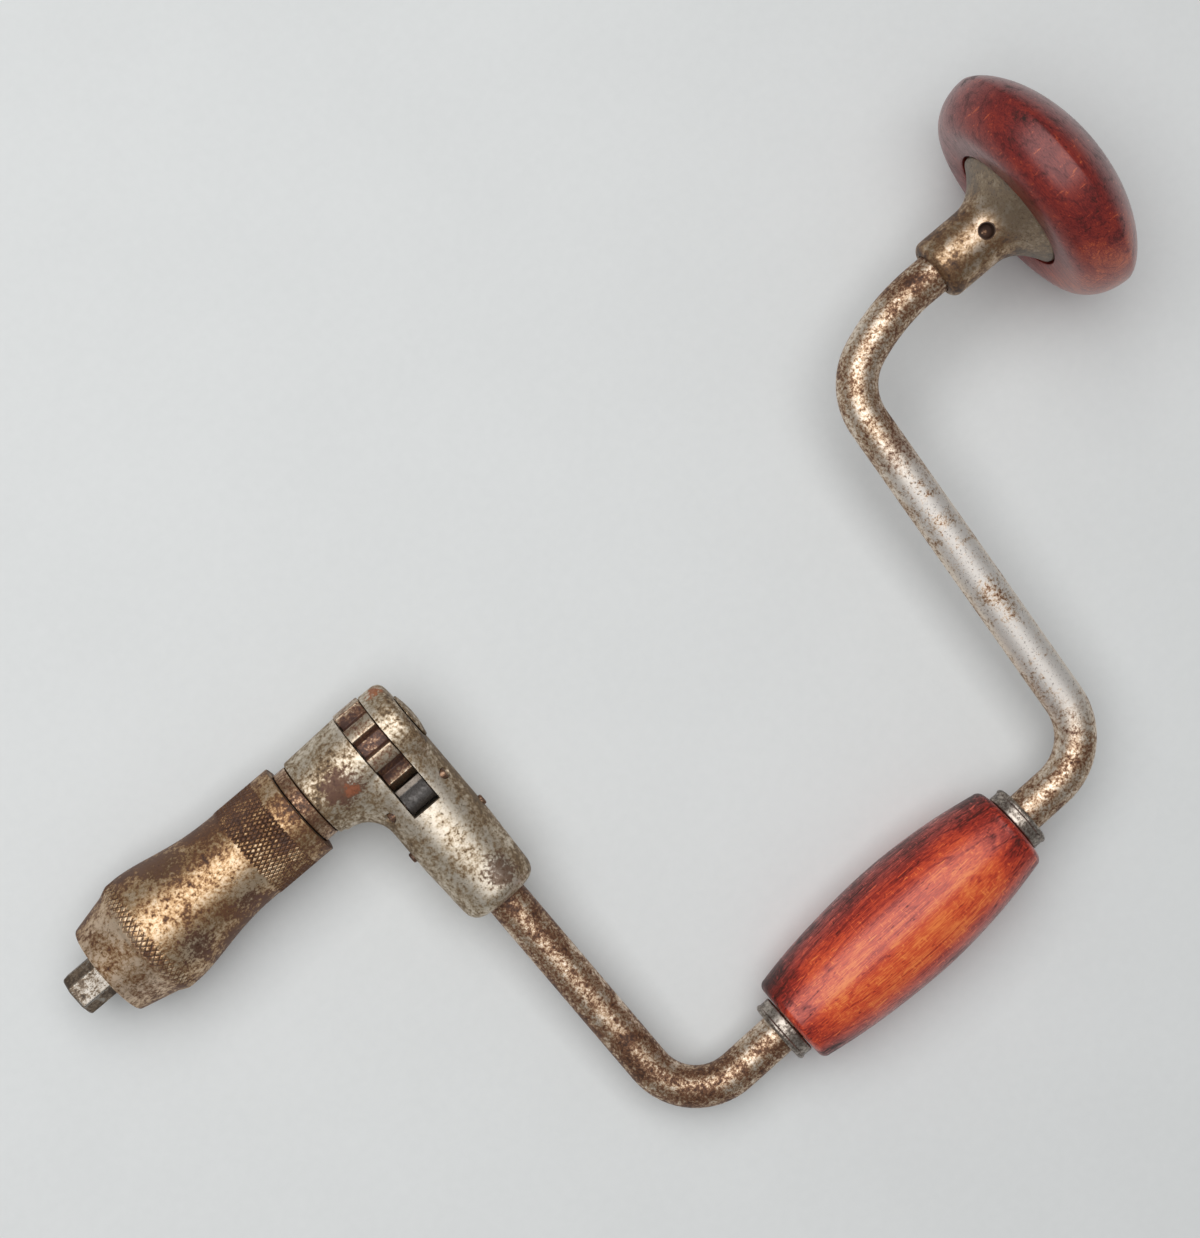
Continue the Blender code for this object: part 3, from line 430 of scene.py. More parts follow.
def turned(name, profile, steps=TURN, closed=False, relief=None, axis=Matrix.Identity(4)):
    """A piece turned about an axis, from (along, radius) points; a relief adds to the radius by place."""
    work = bmesh.new()
    rings = []
    for along, radius in profile:
        count = steps if radius > 0.0 else 1
        ring = []
        for i in range(count):
            angle = 2 * math.pi * i / steps
            rise = radius + (relief(along, angle, radius) if relief and radius > 0.0 else 0.0)
            place = Vector((along, rise * math.cos(angle), rise * math.sin(angle)))
            ring.append(work.verts.new(axis @ place))
        rings.append(ring)
    skin(work, rings, closed)
    return bench_object(name, work)


def corner_fillet():
    """The cast fillet in the corner of barrel and socket, lofted through level slices."""
    work = bmesh.new()
    rings = []
    top = 0.94 * SOCKET_RADIUS
    sink = 2.15
    levels = 28
    steps = 16
    for i in range(levels + 1):
        z = top * math.sin(math.pi / 2 * (2 * i / levels - 1))
        side = -math.sqrt(SOCKET_RADIUS ** 2 - z ** 2)
        under = -math.sqrt(CHEEK_RADIUS ** 2 - z ** 2)
        radius = FILLET_RADIUS * math.sqrt(1.0 - (0.98 * z / top) ** 2)
        inside = (side + sink, under + sink)
        curve = []
        for k in range(steps + 1):
            angle = math.pi / 2 * (1 - k / steps)
            along = side - radius + radius * math.cos(angle)
            curve.append((along, under - radius + radius * math.sin(angle)))
        points = [inside, (curve[0][0], inside[1])] + curve + [(inside[0], curve[-1][1])]
        rings.append([work.verts.new((x, y, z)) for x, y in points])
    skin(work, rings)
    work.faces.new(rings[0])
    work.faces.new(rings[-1])
    return bench_object("corner_fillet", work)


def brick(low, high):
    """A squared cutter between two corners."""
    work = bmesh.new()
    rings = []
    for z in (low[2], high[2]):
        corners = ((low[0], low[1]), (high[0], low[1]), (high[0], high[1]), (low[0], high[1]))
        rings.append([work.verts.new((x, y, z)) for x, y in corners])
    skin(work, rings)
    work.faces.new(rings[0])
    work.faces.new(rings[1])
    return bench_object("brick", work)


def softened(piece, voxel, passes, share):
    """Round a piece's edges as casting or forging leaves them, and keep a share of the fine faces."""
    shaped(piece, 'REMESH', mode='VOXEL', voxel_size=voxel)
    shaped(piece, 'SMOOTH', factor=0.5, iterations=passes)
    shaped(piece, 'DECIMATE', ratio=share)


def pin_axis(y, z):
    """The axis of a pin that crosses the box along the main axis."""
    return Matrix.Translation((0.0, y, z))


down_arm = Matrix(((0, 0, 1), (-1, 0, 0), (0, -1, 0))).to_4x4()
barrel = [(BOX_BACK, 0.0, 0.0), (BOX_BACK, CHEEK_RADIUS, CHEEK_EASE), (-SLOT_HALF, CHEEK_RADIUS, 0.0),
          (BARREL_FRONT, BARREL_RADIUS, 0.4), (BARREL_FRONT, 0.0, 0.0)]
box = turned("ratchet_box_casting", eased(barrel, 10))
arm = [(0.0, 0.0, 0.0), (0.0, SOCKET_RADIUS, 0.0), (SOCKET_STRAIGHT, SOCKET_RADIUS, 0.0),
       (SOCKET_END, SOCKET_END_RADIUS, 4.6), (SOCKET_END, 0.0, 0.0)]
combined(box, turned("arm", eased(arm, 10), axis=down_arm), 'UNION')
combined(box, corner_fillet(), 'UNION')
softened(box, 0.35, 5, 0.4)
PAST_BOX = 34.0
combined(box, brick((-SLOT_HALF, SLOT_END, -PAST_BOX), (SLOT_HALF, PAST_BOX, PAST_BOX)), 'DIFFERENCE')
bores = [(SPINDLE_BORE, -30.0, 0.0, Matrix.Identity(4)), (TAIL_BORE, 0.0, 20.0, Matrix.Identity(4)),
         (ROD_BORE, ROD_SEAT, 60.0, down_arm)]
for y, z in ((-SWEEP_PIN_AT, 0.0), (-PAWL_REACH, PAWL_RISE), (-PAWL_REACH, -PAWL_RISE)):
    bores.append((PIN_RADIUS + PIN_PLAY, -25.0, 25.0, pin_axis(y, z)))
OFF_SQUARE = Matrix.Rotation(math.radians(4.0), 4, 'X')
for radius, start, end, axis in bores:
    bore = [(start, 0.0), (start, radius), (end, radius), (end, 0.0)]
    combined(box, turned("bore", bore, 48, axis=axis @ OFF_SQUARE), 'DIFFERENCE')


def box_tone_by_place(spot):
    """Darker along both sides of the arm and on the back face, and lighter along the middle."""
    sides = spot.part("X").size().clip(0.004, 0.010)
    return sides * 0.06 + spot.part("X").clip(0.0095, 0.0114) * 0.07 - 0.04


BOX_TONES = ((0.80, 0.715, 0.60), (0.60, 0.495, 0.365), (0.27, 0.175, 0.09), (0.075, 0.042, 0.023))
# The first mark is painted shade, an olive-brown film over what lies low; the blots are stains.
BOX_MARKS = ((low_painted_shade(0.001, 0.0110, 0.85), (0.20, 0.135, 0.07), 0.06),
             (blot((3.5, -45.5, 10.6), 4.6), (0.15, 0.085, 0.06), 0.05),
             (blot((-12.5, -3.0, 12.0), 5.0), (0.15, 0.068, 0.045), 0.05),
             (blot((-11.5, -4.5, 11.5), 2.0), (0.36, 0.115, 0.05), 0.05),
             (blot((8.5, 11.5, 5.0), 2.6), (0.42, 0.14, 0.055), 0.1))
box_nickel = aged_steel("box_nickel", BOX_TONES, box_tone_by_place, seed=0.31, rough=0.49, grit=0.78,
                        marks=BOX_MARKS)
laid(box, box_nickel)
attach(box, "frame")
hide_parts("ratchet_box")


# Cross pin and pawl pins
# Soft steel pins driven through the casting and riveted over, so that their ends stand a little proud and
# show coppery where the heads were burred.
CROSS_PIN_PROUD = 0.8
PAWL_PIN_PROUD = 0.3
PIN_DOME = 0.5


def pin(name, half, dome, y, z):
    """A pin along the main axis, domed at both ends."""
    profile = [(-half, 0.0, 0.0), (-half, PIN_RADIUS, dome), (half, PIN_RADIUS, dome), (half, 0.0, 0.0)]
    return turned(name, eased(profile), 32, axis=pin_axis(y, z))


PIN_TONES = ((0.40, 0.27, 0.19), (0.27, 0.16, 0.10), (0.15, 0.075, 0.045), (0.04, 0.02, 0.015))
pin_steel = aged_steel("pin_steel", PIN_TONES, lean=0.05, seed=0.57, rough=0.4, coarse=0.5)
flush = math.sqrt(SOCKET_RADIUS ** 2 - PAWL_RISE ** 2)
for name, half, y, z in (("sweep_pin", SOCKET_RADIUS + CROSS_PIN_PROUD, -SWEEP_PIN_AT, 0.0),
                         ("pawl_pin_upper", flush + PAWL_PIN_PROUD, -PAWL_REACH, PAWL_RISE),
                         ("pawl_pin_lower", flush + PAWL_PIN_PROUD, -PAWL_REACH, -PAWL_RISE)):
    piece = laid(pin(name + "_riveted", half, PIN_DOME, y, z), pin_steel)
    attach(piece, "frame")
    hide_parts(name)


# Ratchet wheel
# Eight blunt teeth cut on a steel disc that is keyed to the spindle. The crests are rubbed bright by the
# pawls, and the gaps between them hold old grease.
GEAR_TIP = 13.05
GEAR_ROOT = 9.75
GEAR_PHASE = math.radians(14.5)
TEETH = 8
CREST_WIDTH = 4.3
GAP_WIDTH = 3.7
KEY_HALF = 1.5
KEY_TOP = 8.5
SIDE_PLAY = 0.3


def plate(name, outline, hole, half, edge):
    """A flat piece cut to an outline across the main axis, with its corners broken."""
    work = bmesh.new()
    loops = []
    for x in (-half, half):
        loops.append([[work.verts.new((x, y, z)) for y, z in loop] for loop in (outline, hole)])
    for k in range(2):
        skin(work, [loops[0][k], loops[1][k]])
    for outer, inner in loops:
        edges = []
        for loop in (outer, inner):
            for i in range(len(loop)):
                pair = (loop[i], loop[(i + 1) % len(loop)])
                edges.append(work.edges.get(pair) or work.edges.new(pair))
        bmesh.ops.triangle_fill(work, use_beauty=True, edges=edges)
    piece = bench_object(name, work)
    return shaped(piece, 'BEVEL', width=edge, segments=3, limit_method='ANGLE',
                  angle_limit=math.radians(40))


def bow(centre, radius, start, end, steps):
    """Points of an arc in the plane across the main axis."""
    out = []
    for i in range(steps + 1):
        angle = start + (end - start) * i / steps
        out.append((centre[0] + radius * math.cos(angle), centre[1] + radius * math.sin(angle)))
    return out


teeth = []
pitch = 2 * math.pi / TEETH
crest = CREST_WIDTH / GEAR_TIP / 2
root = pitch / 2 - GAP_WIDTH / GEAR_ROOT / 2
for tooth in range(TEETH):
    middle = math.pi / 2 + GEAR_PHASE + tooth * pitch
    teeth += bow((0.0, 0.0), GEAR_ROOT, middle - pitch + root, middle - root, 5)
    teeth += bow((0.0, 0.0), GEAR_TIP, middle - crest, middle + crest, 6)
keyway = math.asin(KEY_HALF / SPINDLE_BORE)
keyed = bow((0.0, 0.0), SPINDLE_BORE, keyway, 2 * math.pi - keyway, 48)
keyed += [(KEY_TOP, -KEY_HALF), (KEY_TOP, KEY_HALF)]
gear = plate("ratchet_wheel", teeth, keyed, half=SLOT_HALF - SIDE_PLAY, edge=0.3)


def tooth_wear(spot):
    """Clean on the crests and dark at the roots."""
    reach = spot.stretched(0.0, 1.0, 1.0).length()
    return 0.12 - reach.clip(0.0112, 0.0127) * 0.16


WHEEL_TONES = ((0.64, 0.54, 0.42), (0.43, 0.32, 0.22), (0.22, 0.105, 0.06), (0.085, 0.042, 0.032))
gear_steel = aged_steel("wheel_steel", WHEEL_TONES, tooth_wear, seed=0.83, coarse=0.8)
laid(gear, gear_steel)
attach(gear, "spindle")
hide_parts("ratchet_gear")


# Pawls
# Two small steel dogs on the pins, with a leaf spring between them. They have stayed dark grey inside the
# slot, apart from a paler lip on top.
TIP_PLAY = 0.3
NOSE_AT = math.radians(6.5)
NOSE_WIDTH = 1.9
HEEL = (0.6, -3.75)
LIP = ((4.5, 0.4), (4.5, 1.6), (2.7, 1.6))
EYE_RADIUS = 3.0
EYE_PLAY = 0.2
PAWL_TONES = ((0.20, 0.188, 0.18), (0.145, 0.134, 0.128), (0.10, 0.09, 0.084), (0.05, 0.043, 0.04))
LIP_MARK = (beyond("Y", -0.0141, -0.0139, 0.9), (0.30, 0.255, 0.215), -0.05)
pawl_steel = aged_steel("pawl_steel", PAWL_TONES, lean=0.0, seed=1.07, rough=0.6, coarse=0.6,
                        marks=(LIP_MARK,))
clear = GEAR_TIP + TIP_PLAY
nose = [(HEEL[0] - PAWL_REACH, HEEL[1] + PAWL_RISE)]
for angle in (NOSE_AT, NOSE_AT + NOSE_WIDTH / clear):
    nose.append((-clear * math.cos(angle), clear * math.sin(angle)))
nose += [(y - PAWL_REACH, z + PAWL_RISE) for y, z in LIP]
eye = bow((-PAWL_REACH, PAWL_RISE), EYE_RADIUS, math.radians(60), math.radians(265), 20)
hole = bow((-PAWL_REACH, PAWL_RISE), PIN_RADIUS + EYE_PLAY, 0.0, 2 * math.pi * 31 / 32, 31)
for side, flip in (("upper", 1.0), ("lower", -1.0)):
    loops = [[(y, flip * z) for y, z in loop] for loop in (nose + eye, hole)]
    dog = plate("pawl_dog_" + side, *loops, half=SLOT_HALF - SIDE_PLAY, edge=0.18)
    piece = laid(dog, pawl_steel)
    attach(piece, "pawl_" + side)
    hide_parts("pawl_" + side)


# Spindle, rivet and thrust ring
# The spindle carries the wheel at one end and the chuck at the other. A low riveted head closes it at the
# back of the box, and a loose steel ring takes the thrust between the barrel and the chuck.
RING_FRONT = -25.9
RING_BACK = -22.2
RING_RADIUS = 11.0
RIVET_SEAT = 11.6
RIVET_TOP = 12.9


def kept(name, material):
    """A solid of the frame that shows as it is, in a finish of its own."""
    node = frame["nodes"][name]
    node.data.materials.clear()
    node.data.materials.append(material)


RING_TONES = ((0.66, 0.50, 0.36), (0.44, 0.285, 0.175), (0.18, 0.083, 0.042), (0.065, 0.03, 0.018))
ring_steel = aged_steel("ring_steel", RING_TONES, lean=0.02, seed=1.31)
ring_profile = [(RING_FRONT, SPINDLE_BORE, 0.3), (RING_FRONT, RING_RADIUS, 0.25),
                (RING_BACK, RING_RADIUS, 0.25), (RING_BACK, SPINDLE_BORE, 0.3)]
ring = turned("thrust_ring_turned", eased(ring_profile), closed=True)
laid(ring, ring_steel)
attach(ring, "spindle")
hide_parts("thrust_ring")

dome = [(SLOT_HALF, 0.0, 0.0), (SLOT_HALF, 2.0, 0.3), (RIVET_SEAT, 2.0, 0.0), (RIVET_SEAT, 6.6, 0.1),
        (12.05, 6.5, 0.3), (12.75, 3.0, 1.2), (RIVET_TOP, 0.0, 0.0)]
rivet = laid(turned("spindle_rivet_head", eased(dome), 48), box_nickel)
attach(rivet, "spindle")
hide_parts("spindle_rivet")

INNER_TONES = ((0.34, 0.31, 0.28), (0.23, 0.20, 0.175), (0.12, 0.095, 0.078), (0.05, 0.04, 0.034))
inner_steel = aged_steel("inner_steel", INNER_TONES, lean=0.0, seed=1.51, rough=0.42, own=True)
for name in ("spindle", "gear_key", "jaw_spring", "pawl_spring"):
    kept(name, inner_steel)


# Chuck jaws
# Two forged jaws that lie in the spindle's slot, with an octagonal nose and a notch for the bit's square
# tang. The flat on the back is ground, and the corners keep their scale.
def jaw_wear(spot):
    """Scale on the slanting sides, and ground metal on the flat of the back."""
    return 0.11 - spot.part("Z").size().clip(0.0059, 0.0064) * 0.16


JAW_TONES = ((0.46, 0.42, 0.375), (0.40, 0.36, 0.31), (0.21, 0.15, 0.098), (0.07, 0.046, 0.03))
jaw_steel = aged_steel("jaw_steel", JAW_TONES, jaw_wear, seed=1.73, coarse=0.6, grit=0.6)
for side in ("upper", "lower"):
    solid = frame["nodes"]["jaw_" + side]
    piece = bpy.data.objects.new("jaw_forged_" + side, solid.data.copy())
    bpy.context.scene.collection.objects.link(piece)
    piece.data.transform(Matrix.Scale(1.0 / MM, 4) @ tool.inverted())
    softened(piece, 0.22, 4, 0.3)
    laid(piece, jaw_steel)
    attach(piece, "jaw_" + side)
    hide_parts("jaw_" + side)


# Chuck shell
# Turned from bar, with a waist, a swelling belly and a cone inside that closes the jaws. The rear band has
# a full diamond knurl, and the narrow one on the belly is worn half away.
SHELL_REAR = -26.2
SHELL_NOSE = -91.3
BAND_RADIUS = 13.6
BAND_FRONT = -31.2
BAND_RUN = 12.5
WAIST = -44.5
WAIST_RADIUS = 13.4
SWELL_RUN = 31.0
SWELL = 3.8
BELLY_RADIUS = 17.2
BELLY_RUN = 2.2
SHOULDER_RUN = 2.8
SHOULDER_FALL = 1.25
SHELL_BORE = 10.7
CONE_RADIUS = 13.8
REAR_KNURL = (-43.6, -31.4)
FRONT_KNURL = (-79.6, -74.6)
KNURL_STARTS = 64
KNURL_SLOPE = math.tan(math.radians(29.0))
KNURL_PITCH = 2 * math.pi * BAND_RADIUS / KNURL_STARTS
REAR_CUT = 0.42
FRONT_CUT = 0.27


def shell_profile():
    """The shell from its rear rim over the outside to its nose, then back through the cone and the bore."""
    rear = [(SHELL_REAR, SHELL_BORE, 0.4), (SHELL_REAR, BAND_RADIUS, 0.2), (BAND_FRONT, BAND_RADIUS, 0.0)]
    points = eased(rear)
    points += [(BAND_FRONT - BAND_RUN * i / 100, BAND_RADIUS) for i in range(1, 101)]
    for i in range(36):
        share = (i / 35) ** 1.3
        radius = WAIST_RADIUS + SWELL * share * share * (3 - 2 * share)
        points.append((WAIST - SWELL_RUN * i / 35, radius))
    belly = WAIST - SWELL_RUN
    points += [(belly - BELLY_RUN * i / 16, BELLY_RADIUS) for i in range(1, 17)]
    for i in range(1, 21):
        radius = BELLY_RADIUS - SHOULDER_FALL * (i / 20) ** 1.2
        points.append((belly - BELLY_RUN - SHOULDER_RUN * i / 20, radius))
    nose = [(-80.5, 15.95, 0.0), (SHELL_NOSE, 13.3, 0.7), (SHELL_NOSE, 9.1, 0.4),
            (-78.387, CONE_RADIUS, 0.5), (-69.987, CONE_RADIUS, 0.5), (-64.987, SHELL_BORE, 0.5)]
    return points + eased(nose)[1:]


def ramp(value, width):
    """0 to 1 as a value goes from 0 to a width."""
    return min(1.0, max(0.0, value / width))


def knurl(along, angle, radius):
    """Depth of the diamond knurl: two sets of helical grooves over the bands."""
    if radius < 12.0 or along > SHELL_REAR - 0.6:
        return 0.0
    rear = ramp(REAR_KNURL[1] - along, 0.5) * ramp(along - REAR_KNURL[0], 0.5)
    front = ramp(FRONT_KNURL[1] - along, 0.6) * ramp(along - FRONT_KNURL[0], 0.8)
    if rear + front <= 0.0:
        return 0.0
    place = Vector((along * 0.35, 5.0 * math.cos(angle), 5.0 * math.sin(angle)))
    worn = 0.5 + 0.9 * noise.noise(place * 0.7)
    depth = REAR_CUT * rear * min(1.0, 0.75 + 0.5 * worn)
    depth += FRONT_CUT * front * ramp(worn * 1.6 - 0.05, 1.0)
    turn = angle * KNURL_STARTS / (2 * math.pi)
    slide = along * KNURL_SLOPE / KNURL_PITCH
    cuts = []
    for way in (turn + slide, turn - slide):
        cuts.append(max(0.0, 1.0 - abs(way % 1.0 - 0.5) / 0.2))
    return -depth * max(cuts)


shell = turned("chuck_shell_knurled", shell_profile(), 8 * KNURL_STARTS, True, knurl)


def shell_wear_and_painted_light(spot):
    """Brown in the rear band, with grime in the knurl's grooves; golden and lighter on top and on the top
    of the nose, and darker low down, as painted light and shade.
    """
    along = spot.part("X")
    rear = along.clip(-0.0438, -0.0432) * (1 - along.clip(-0.0318, -0.0312))
    front = along.clip(-0.0797, -0.0785) * (1 - along.clip(-0.0758, -0.0744))
    turn = spot.part("Z").math('ARCTAN2', spot.part("Z"), spot.part("Y")) * (KNURL_STARTS / (2 * math.pi))
    slide = along * (KNURL_SLOPE / KNURL_PITCH / MM)
    cuts = [way.folded().clip(0.37, 0.46) for way in (turn + slide, turn - slide)]
    groove = cuts[0].math('MAXIMUM', *cuts)
    # The top, and the top of the nose, are painted lighter as a highlight, and what lies low is painted
    # darker as shade.
    top = spot.part("Z").clip(0.003, 0.014)
    nose = (1 - along.clip(-0.082, -0.079)) * spot.part("Z").clip(0.002, 0.012)
    grime = groove * (rear * 0.28 + front * 0.19) + rear * 0.05
    return grime + 0.12 - spot.part("Z").clip(-0.004, 0.006) * 0.04 - top * 0.10 - nose * 0.06


def nose_painted_sheen(spot, field):
    """The share of a pinkish painted highlight on the top of the shell's nose, between the specks."""
    high = spot.part("Z").clip(0.004, 0.012)
    return (1 - spot.part("X").clip(-0.083, -0.076)) * (1 - field.clip(0.80, 0.98)) * high * 0.5


def grip_side_painted_shade(spot, field):
    """The share of painted shade, coloured as red-brown rust, on the side towards the grip, broken by the
    mottling.
    """
    return (0.0 - spot.part("Y")).clip(0.001, 0.012) * field.clip(0.74, 0.94) * 0.7


SHELL_TONES = ((0.72, 0.555, 0.385), (0.50, 0.315, 0.160), (0.19, 0.080, 0.032), (0.06, 0.027, 0.016))
# The first mark is painted shade, a dark brown film over what lies low; the blots are stains.
SHELL_MARKS = ((low_painted_shade(0.001, 0.0150, 0.95), (0.115, 0.048, 0.022), 0.08),
               # A pinkish painted highlight on the top of the shell's nose.
               (nose_painted_sheen, (0.88, 0.68, 0.53), 0.07),
               # Painted shade on the side of the shell towards the grip.
               (grip_side_painted_shade, (0.17, 0.075, 0.04), 0.05),
               (blot((-68.0, -9.5, 12.5), 5.5), (0.135, 0.062, 0.045), 0.05),
               (blot((-50.0, -9.0, 10.0), 4.0), (0.135, 0.062, 0.045), 0.05),
               (blot((-62.0, 13.0, 7.0), 7.0), (0.14, 0.07, 0.04), 0.05))
shell_steel = aged_steel("shell_steel", SHELL_TONES, shell_wear_and_painted_light, seed=2.11, rough=0.45, grit=0.75,
                         marks=SHELL_MARKS)
laid(shell, shell_steel, sharp=60.0)
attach(shell, "shell")
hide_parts("chuck_shell")


# Grip and its collars
# A beech barrel that turns on the sweep between two steel collars. Its stain has gone orange where palms
# rub and black where they don't, and both long sides are painted darker still, as shade.
GRIP_START = 36.1
GRIP_LENGTH = 78.6
GRIP_EDGE = 2.2
LOWER_FACE = 11.0
UPPER_FACE = 10.5
GRIP_BELLY = 16.7
BELLY_AT = 40.0
LOWER_FALL = 3.5
UPPER_FALL = 4.0
COLLAR_REACH = 4.7
COLLAR_BORE = 5.85
along_grip = (GRIP_HEAD - GRIP_FOOT).normalized()
over_grip = Vector((0.0, 0.0, 1.0))
grip_place = Matrix((along_grip, over_grip.cross(along_grip), over_grip)).transposed().to_4x4()
grip_place.translation = (GRIP_FOOT + along_grip * GRIP_START) * MM
grip_place = tool @ grip_place


def grip_profile():
    """The grip from its lower face over the belly to its upper face, with the edges rounded."""
    points = [(0.0, ROD_BORE), (0.0, LOWER_FACE)]
    for k in range(1, 9):
        angle = math.pi / 2 * k / 8
        points.append((GRIP_EDGE - GRIP_EDGE * math.cos(angle), LOWER_FACE + GRIP_EDGE * math.sin(angle)))
    span = GRIP_LENGTH - 2 * GRIP_EDGE
    top = GRIP_LENGTH - GRIP_EDGE
    for i in range(1, 60):
        along = GRIP_EDGE + span * i / 60
        if along < BELLY_AT:
            fall = LOWER_FALL * ((BELLY_AT - along) / (BELLY_AT - GRIP_EDGE)) ** 2
        else:
            fall = UPPER_FALL * ((along - BELLY_AT) / (top - BELLY_AT)) ** 2
        points.append((along, GRIP_BELLY - fall))
    for k in range(8):
        angle = math.pi / 2 * k / 8
        points.append((top + GRIP_EDGE * math.sin(angle), UPPER_FACE + GRIP_EDGE * math.cos(angle)))
    return points + [(GRIP_LENGTH, UPPER_FACE), (GRIP_LENGTH, ROD_BORE)]


def rubbed(along, angle, radius):
    """The slight unevenness of wood that hands have worn for years."""
    if radius < 9.0:
        return 0.0
    place = Vector((along * 0.06, radius * 0.06 * math.cos(angle), radius * 0.06 * math.sin(angle)))
    return 0.12 * noise.noise(place) - 0.06


def stained_wood(name, tones, along, swirl, ring_gap, seed, contrast, gloss, smudge):
    """Turned wood under an old stain, through five tones from rubbed to sooty: fibres drawn out along the
    grain, growth rings round a swirl, flecks, pores and smudges that a function of the place gives."""
    def drawn_out(place, power):
        """A place drawn out along the grain, more so with a higher power."""
        return place.stretched(*(value ** power for value in along))

    material, shader, spot = new_finish(name, Specular_IOR_Level=0.2, Coat_Roughness=0.30, Coat_IOR=1.5)
    drawn = drawn_out(spot, 1.0).shifted(seed, seed, seed)
    fine = drawn.grain(0.30, 3.0, 0.65)
    short = drawn_out(spot, 0.45).shifted(seed, -seed, seed).grain(0.26, 2.0, 0.6)
    broad = drawn.grain(2.6, 4.0, 0.6)
    sway = drawn.grain(3.5, 2.0, 0.5)
    reach = drawn_out(spot.shifted(*(-value * MM for value in swirl)), 0.35).length()
    line = (reach * (1.0 / (ring_gap * MM)) + sway * 2.0).folded().clip(0.38, 0.50)
    pore = drawn_out(spot, 0.25).grain(0.8, 2.0, 0.5).clip(0.66, 0.72)
    fleck = drawn_out(spot, -0.25).grain(1.7, 2.0, 0.5).clip(0.62, 0.70)
    cloud = spot.grain(9.0, 6.0, 0.62)
    scratch = spot.stretched(0.08, 1.0, 0.4).grain(0.7, 1.0, 0.5).clip(0.70, 0.73)
    marks = fine * 0.62 + short * 0.50 + broad * 0.42 + line * 0.14 + cloud * 0.55 - 1.12
    marks = marks + pore * 0.20 - fleck * 0.16 - scratch * 0.25
    share = marks * contrast + 0.42 + smudge(spot)
    stops = list(zip((0.0, 0.28, 0.55, 0.80, 1.0), tones))
    colour = share.node("ShaderNodeValToRGB", {"stops": stops}, {0: share})
    feed(shader, Base_Color=colour, Roughness=share.clip(0.3, 1.2) * 0.15 + fine * 0.1 + 0.36,
         Coat_Weight=gloss - share.clip(0.35, 0.95) * gloss * 0.8,
         Normal=raised(fine * 0.6 + short * 0.3 - pore * 0.3 - line * 0.1, 0.3, 0.15))
    return material


def grip_smudge_and_shade(spot):
    """Black along the side away from the palm, dull on the other side and at the ends, rubbed between;
    both sides are darkened partly by smudges and partly as painted shade.
    """
    # Both sides are darker partly from smudges and partly as painted shade where the barrel turns from the
    # light.
    far = spot.part("Y").clip(0.003, 0.012) * 0.20 + spot.part("Y").clip(0.010, 0.0165) * 0.36
    close = (0.0 - spot.part("Y")).clip(0.007, 0.0168) * 0.40
    ends = (spot.part("X") - GRIP_LENGTH / 2 * MM).size().clip(0.022, 0.038)
    return far + close + ends * 0.32 - 0.11


GRIP_TONES = ((0.94, 0.25, 0.06), (0.72, 0.082, 0.022), (0.38, 0.026, 0.012), (0.11, 0.012, 0.008),
              (0.028, 0.010, 0.008))
grip_wood = stained_wood("stained_beech", GRIP_TONES, along=(1.0 / 60.0, 1.0, 1.0),
                         swirl=(39.0, 6.0, -40.0), ring_gap=2.2, seed=0.4, contrast=1.3, gloss=0.95,
                         smudge=grip_smudge_and_shade)
grip = laid(turned("grip_barrel", grip_profile(), TURN, True, rubbed), grip_wood, grip_place)
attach(grip, "grip")
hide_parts("grip")

COLLAR_TONES = ((0.54, 0.48, 0.42), (0.29, 0.245, 0.205), (0.12, 0.092, 0.074), (0.045, 0.034, 0.027))
collar_steel = aged_steel("collar_steel", COLLAR_TONES, lean=0.0, seed=2.57, coarse=0.7)
collar = [(0.0, COLLAR_BORE, 0.2), (0.0, 8.4, 0.3), (0.6, 9.05, 0.3), (1.2, 9.05, 0.2), (1.5, 8.75, 0.2),
          (4.4, 8.85, 0.7), (4.4, COLLAR_BORE, 0.2)]
for side, face, inward in (("lower", -COLLAR_REACH, 1.0), ("upper", GRIP_LENGTH + COLLAR_REACH, -1.0)):
    profile = [(face + inward * along, radius, ease) for along, radius, ease in collar]
    piece = laid(turned("collar_" + side, eased(profile), 64, True), collar_steel, grip_place)
    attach(piece, "frame")
    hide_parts("grip_collar_" + side)


# Quill
# A turned steel sleeve that flares to a flange let into the wooden head, with an oil hole over its bearing
# on the end of the sweep.
QUILL_START = 193.097
QUILL_STEP = 216.497
QUILL_END = 231.097
QUILL_BORE = 4.5
TENON_RADIUS = 11.0
SLEEVE_RADIUS = 8.7
SLEEVE_EDGE = 2.4
SLEEVE_MOUTH = 6.3
FLARE_RUN = 11.7
FLANGE = 219.297
FLANGE_BACK = FLANGE + 2.8
FLANGE_RADIUS = 17.65
OIL_RADIUS = 2.1
quill_profile = [(QUILL_END, QUILL_BORE), (QUILL_END, TENON_RADIUS), (FLANGE_BACK, TENON_RADIUS)]
quill_profile += eased([(FLANGE_BACK, 17.0, 0.0), (FLANGE_BACK, FLANGE_RADIUS, 0.3),
                        (FLANGE + 0.6, FLANGE_RADIUS, 0.0)])
flare = FLANGE_RADIUS - 0.25 - SLEEVE_RADIUS
for i in range(28, -1, -1):
    share = i / 28
    quill_profile.append((FLANGE - FLARE_RUN * (1 - share), SLEEVE_RADIUS + flare * share ** 2.2))
for k in range(9):
    angle = math.pi / 2 * k / 8
    along = QUILL_START + SLEEVE_EDGE - SLEEVE_EDGE * math.sin(angle)
    quill_profile.append((along, SLEEVE_MOUTH + SLEEVE_EDGE * math.cos(angle)))
quill_profile += [(QUILL_START, ROD_BORE), (QUILL_STEP, ROD_BORE), (QUILL_STEP, QUILL_BORE)]
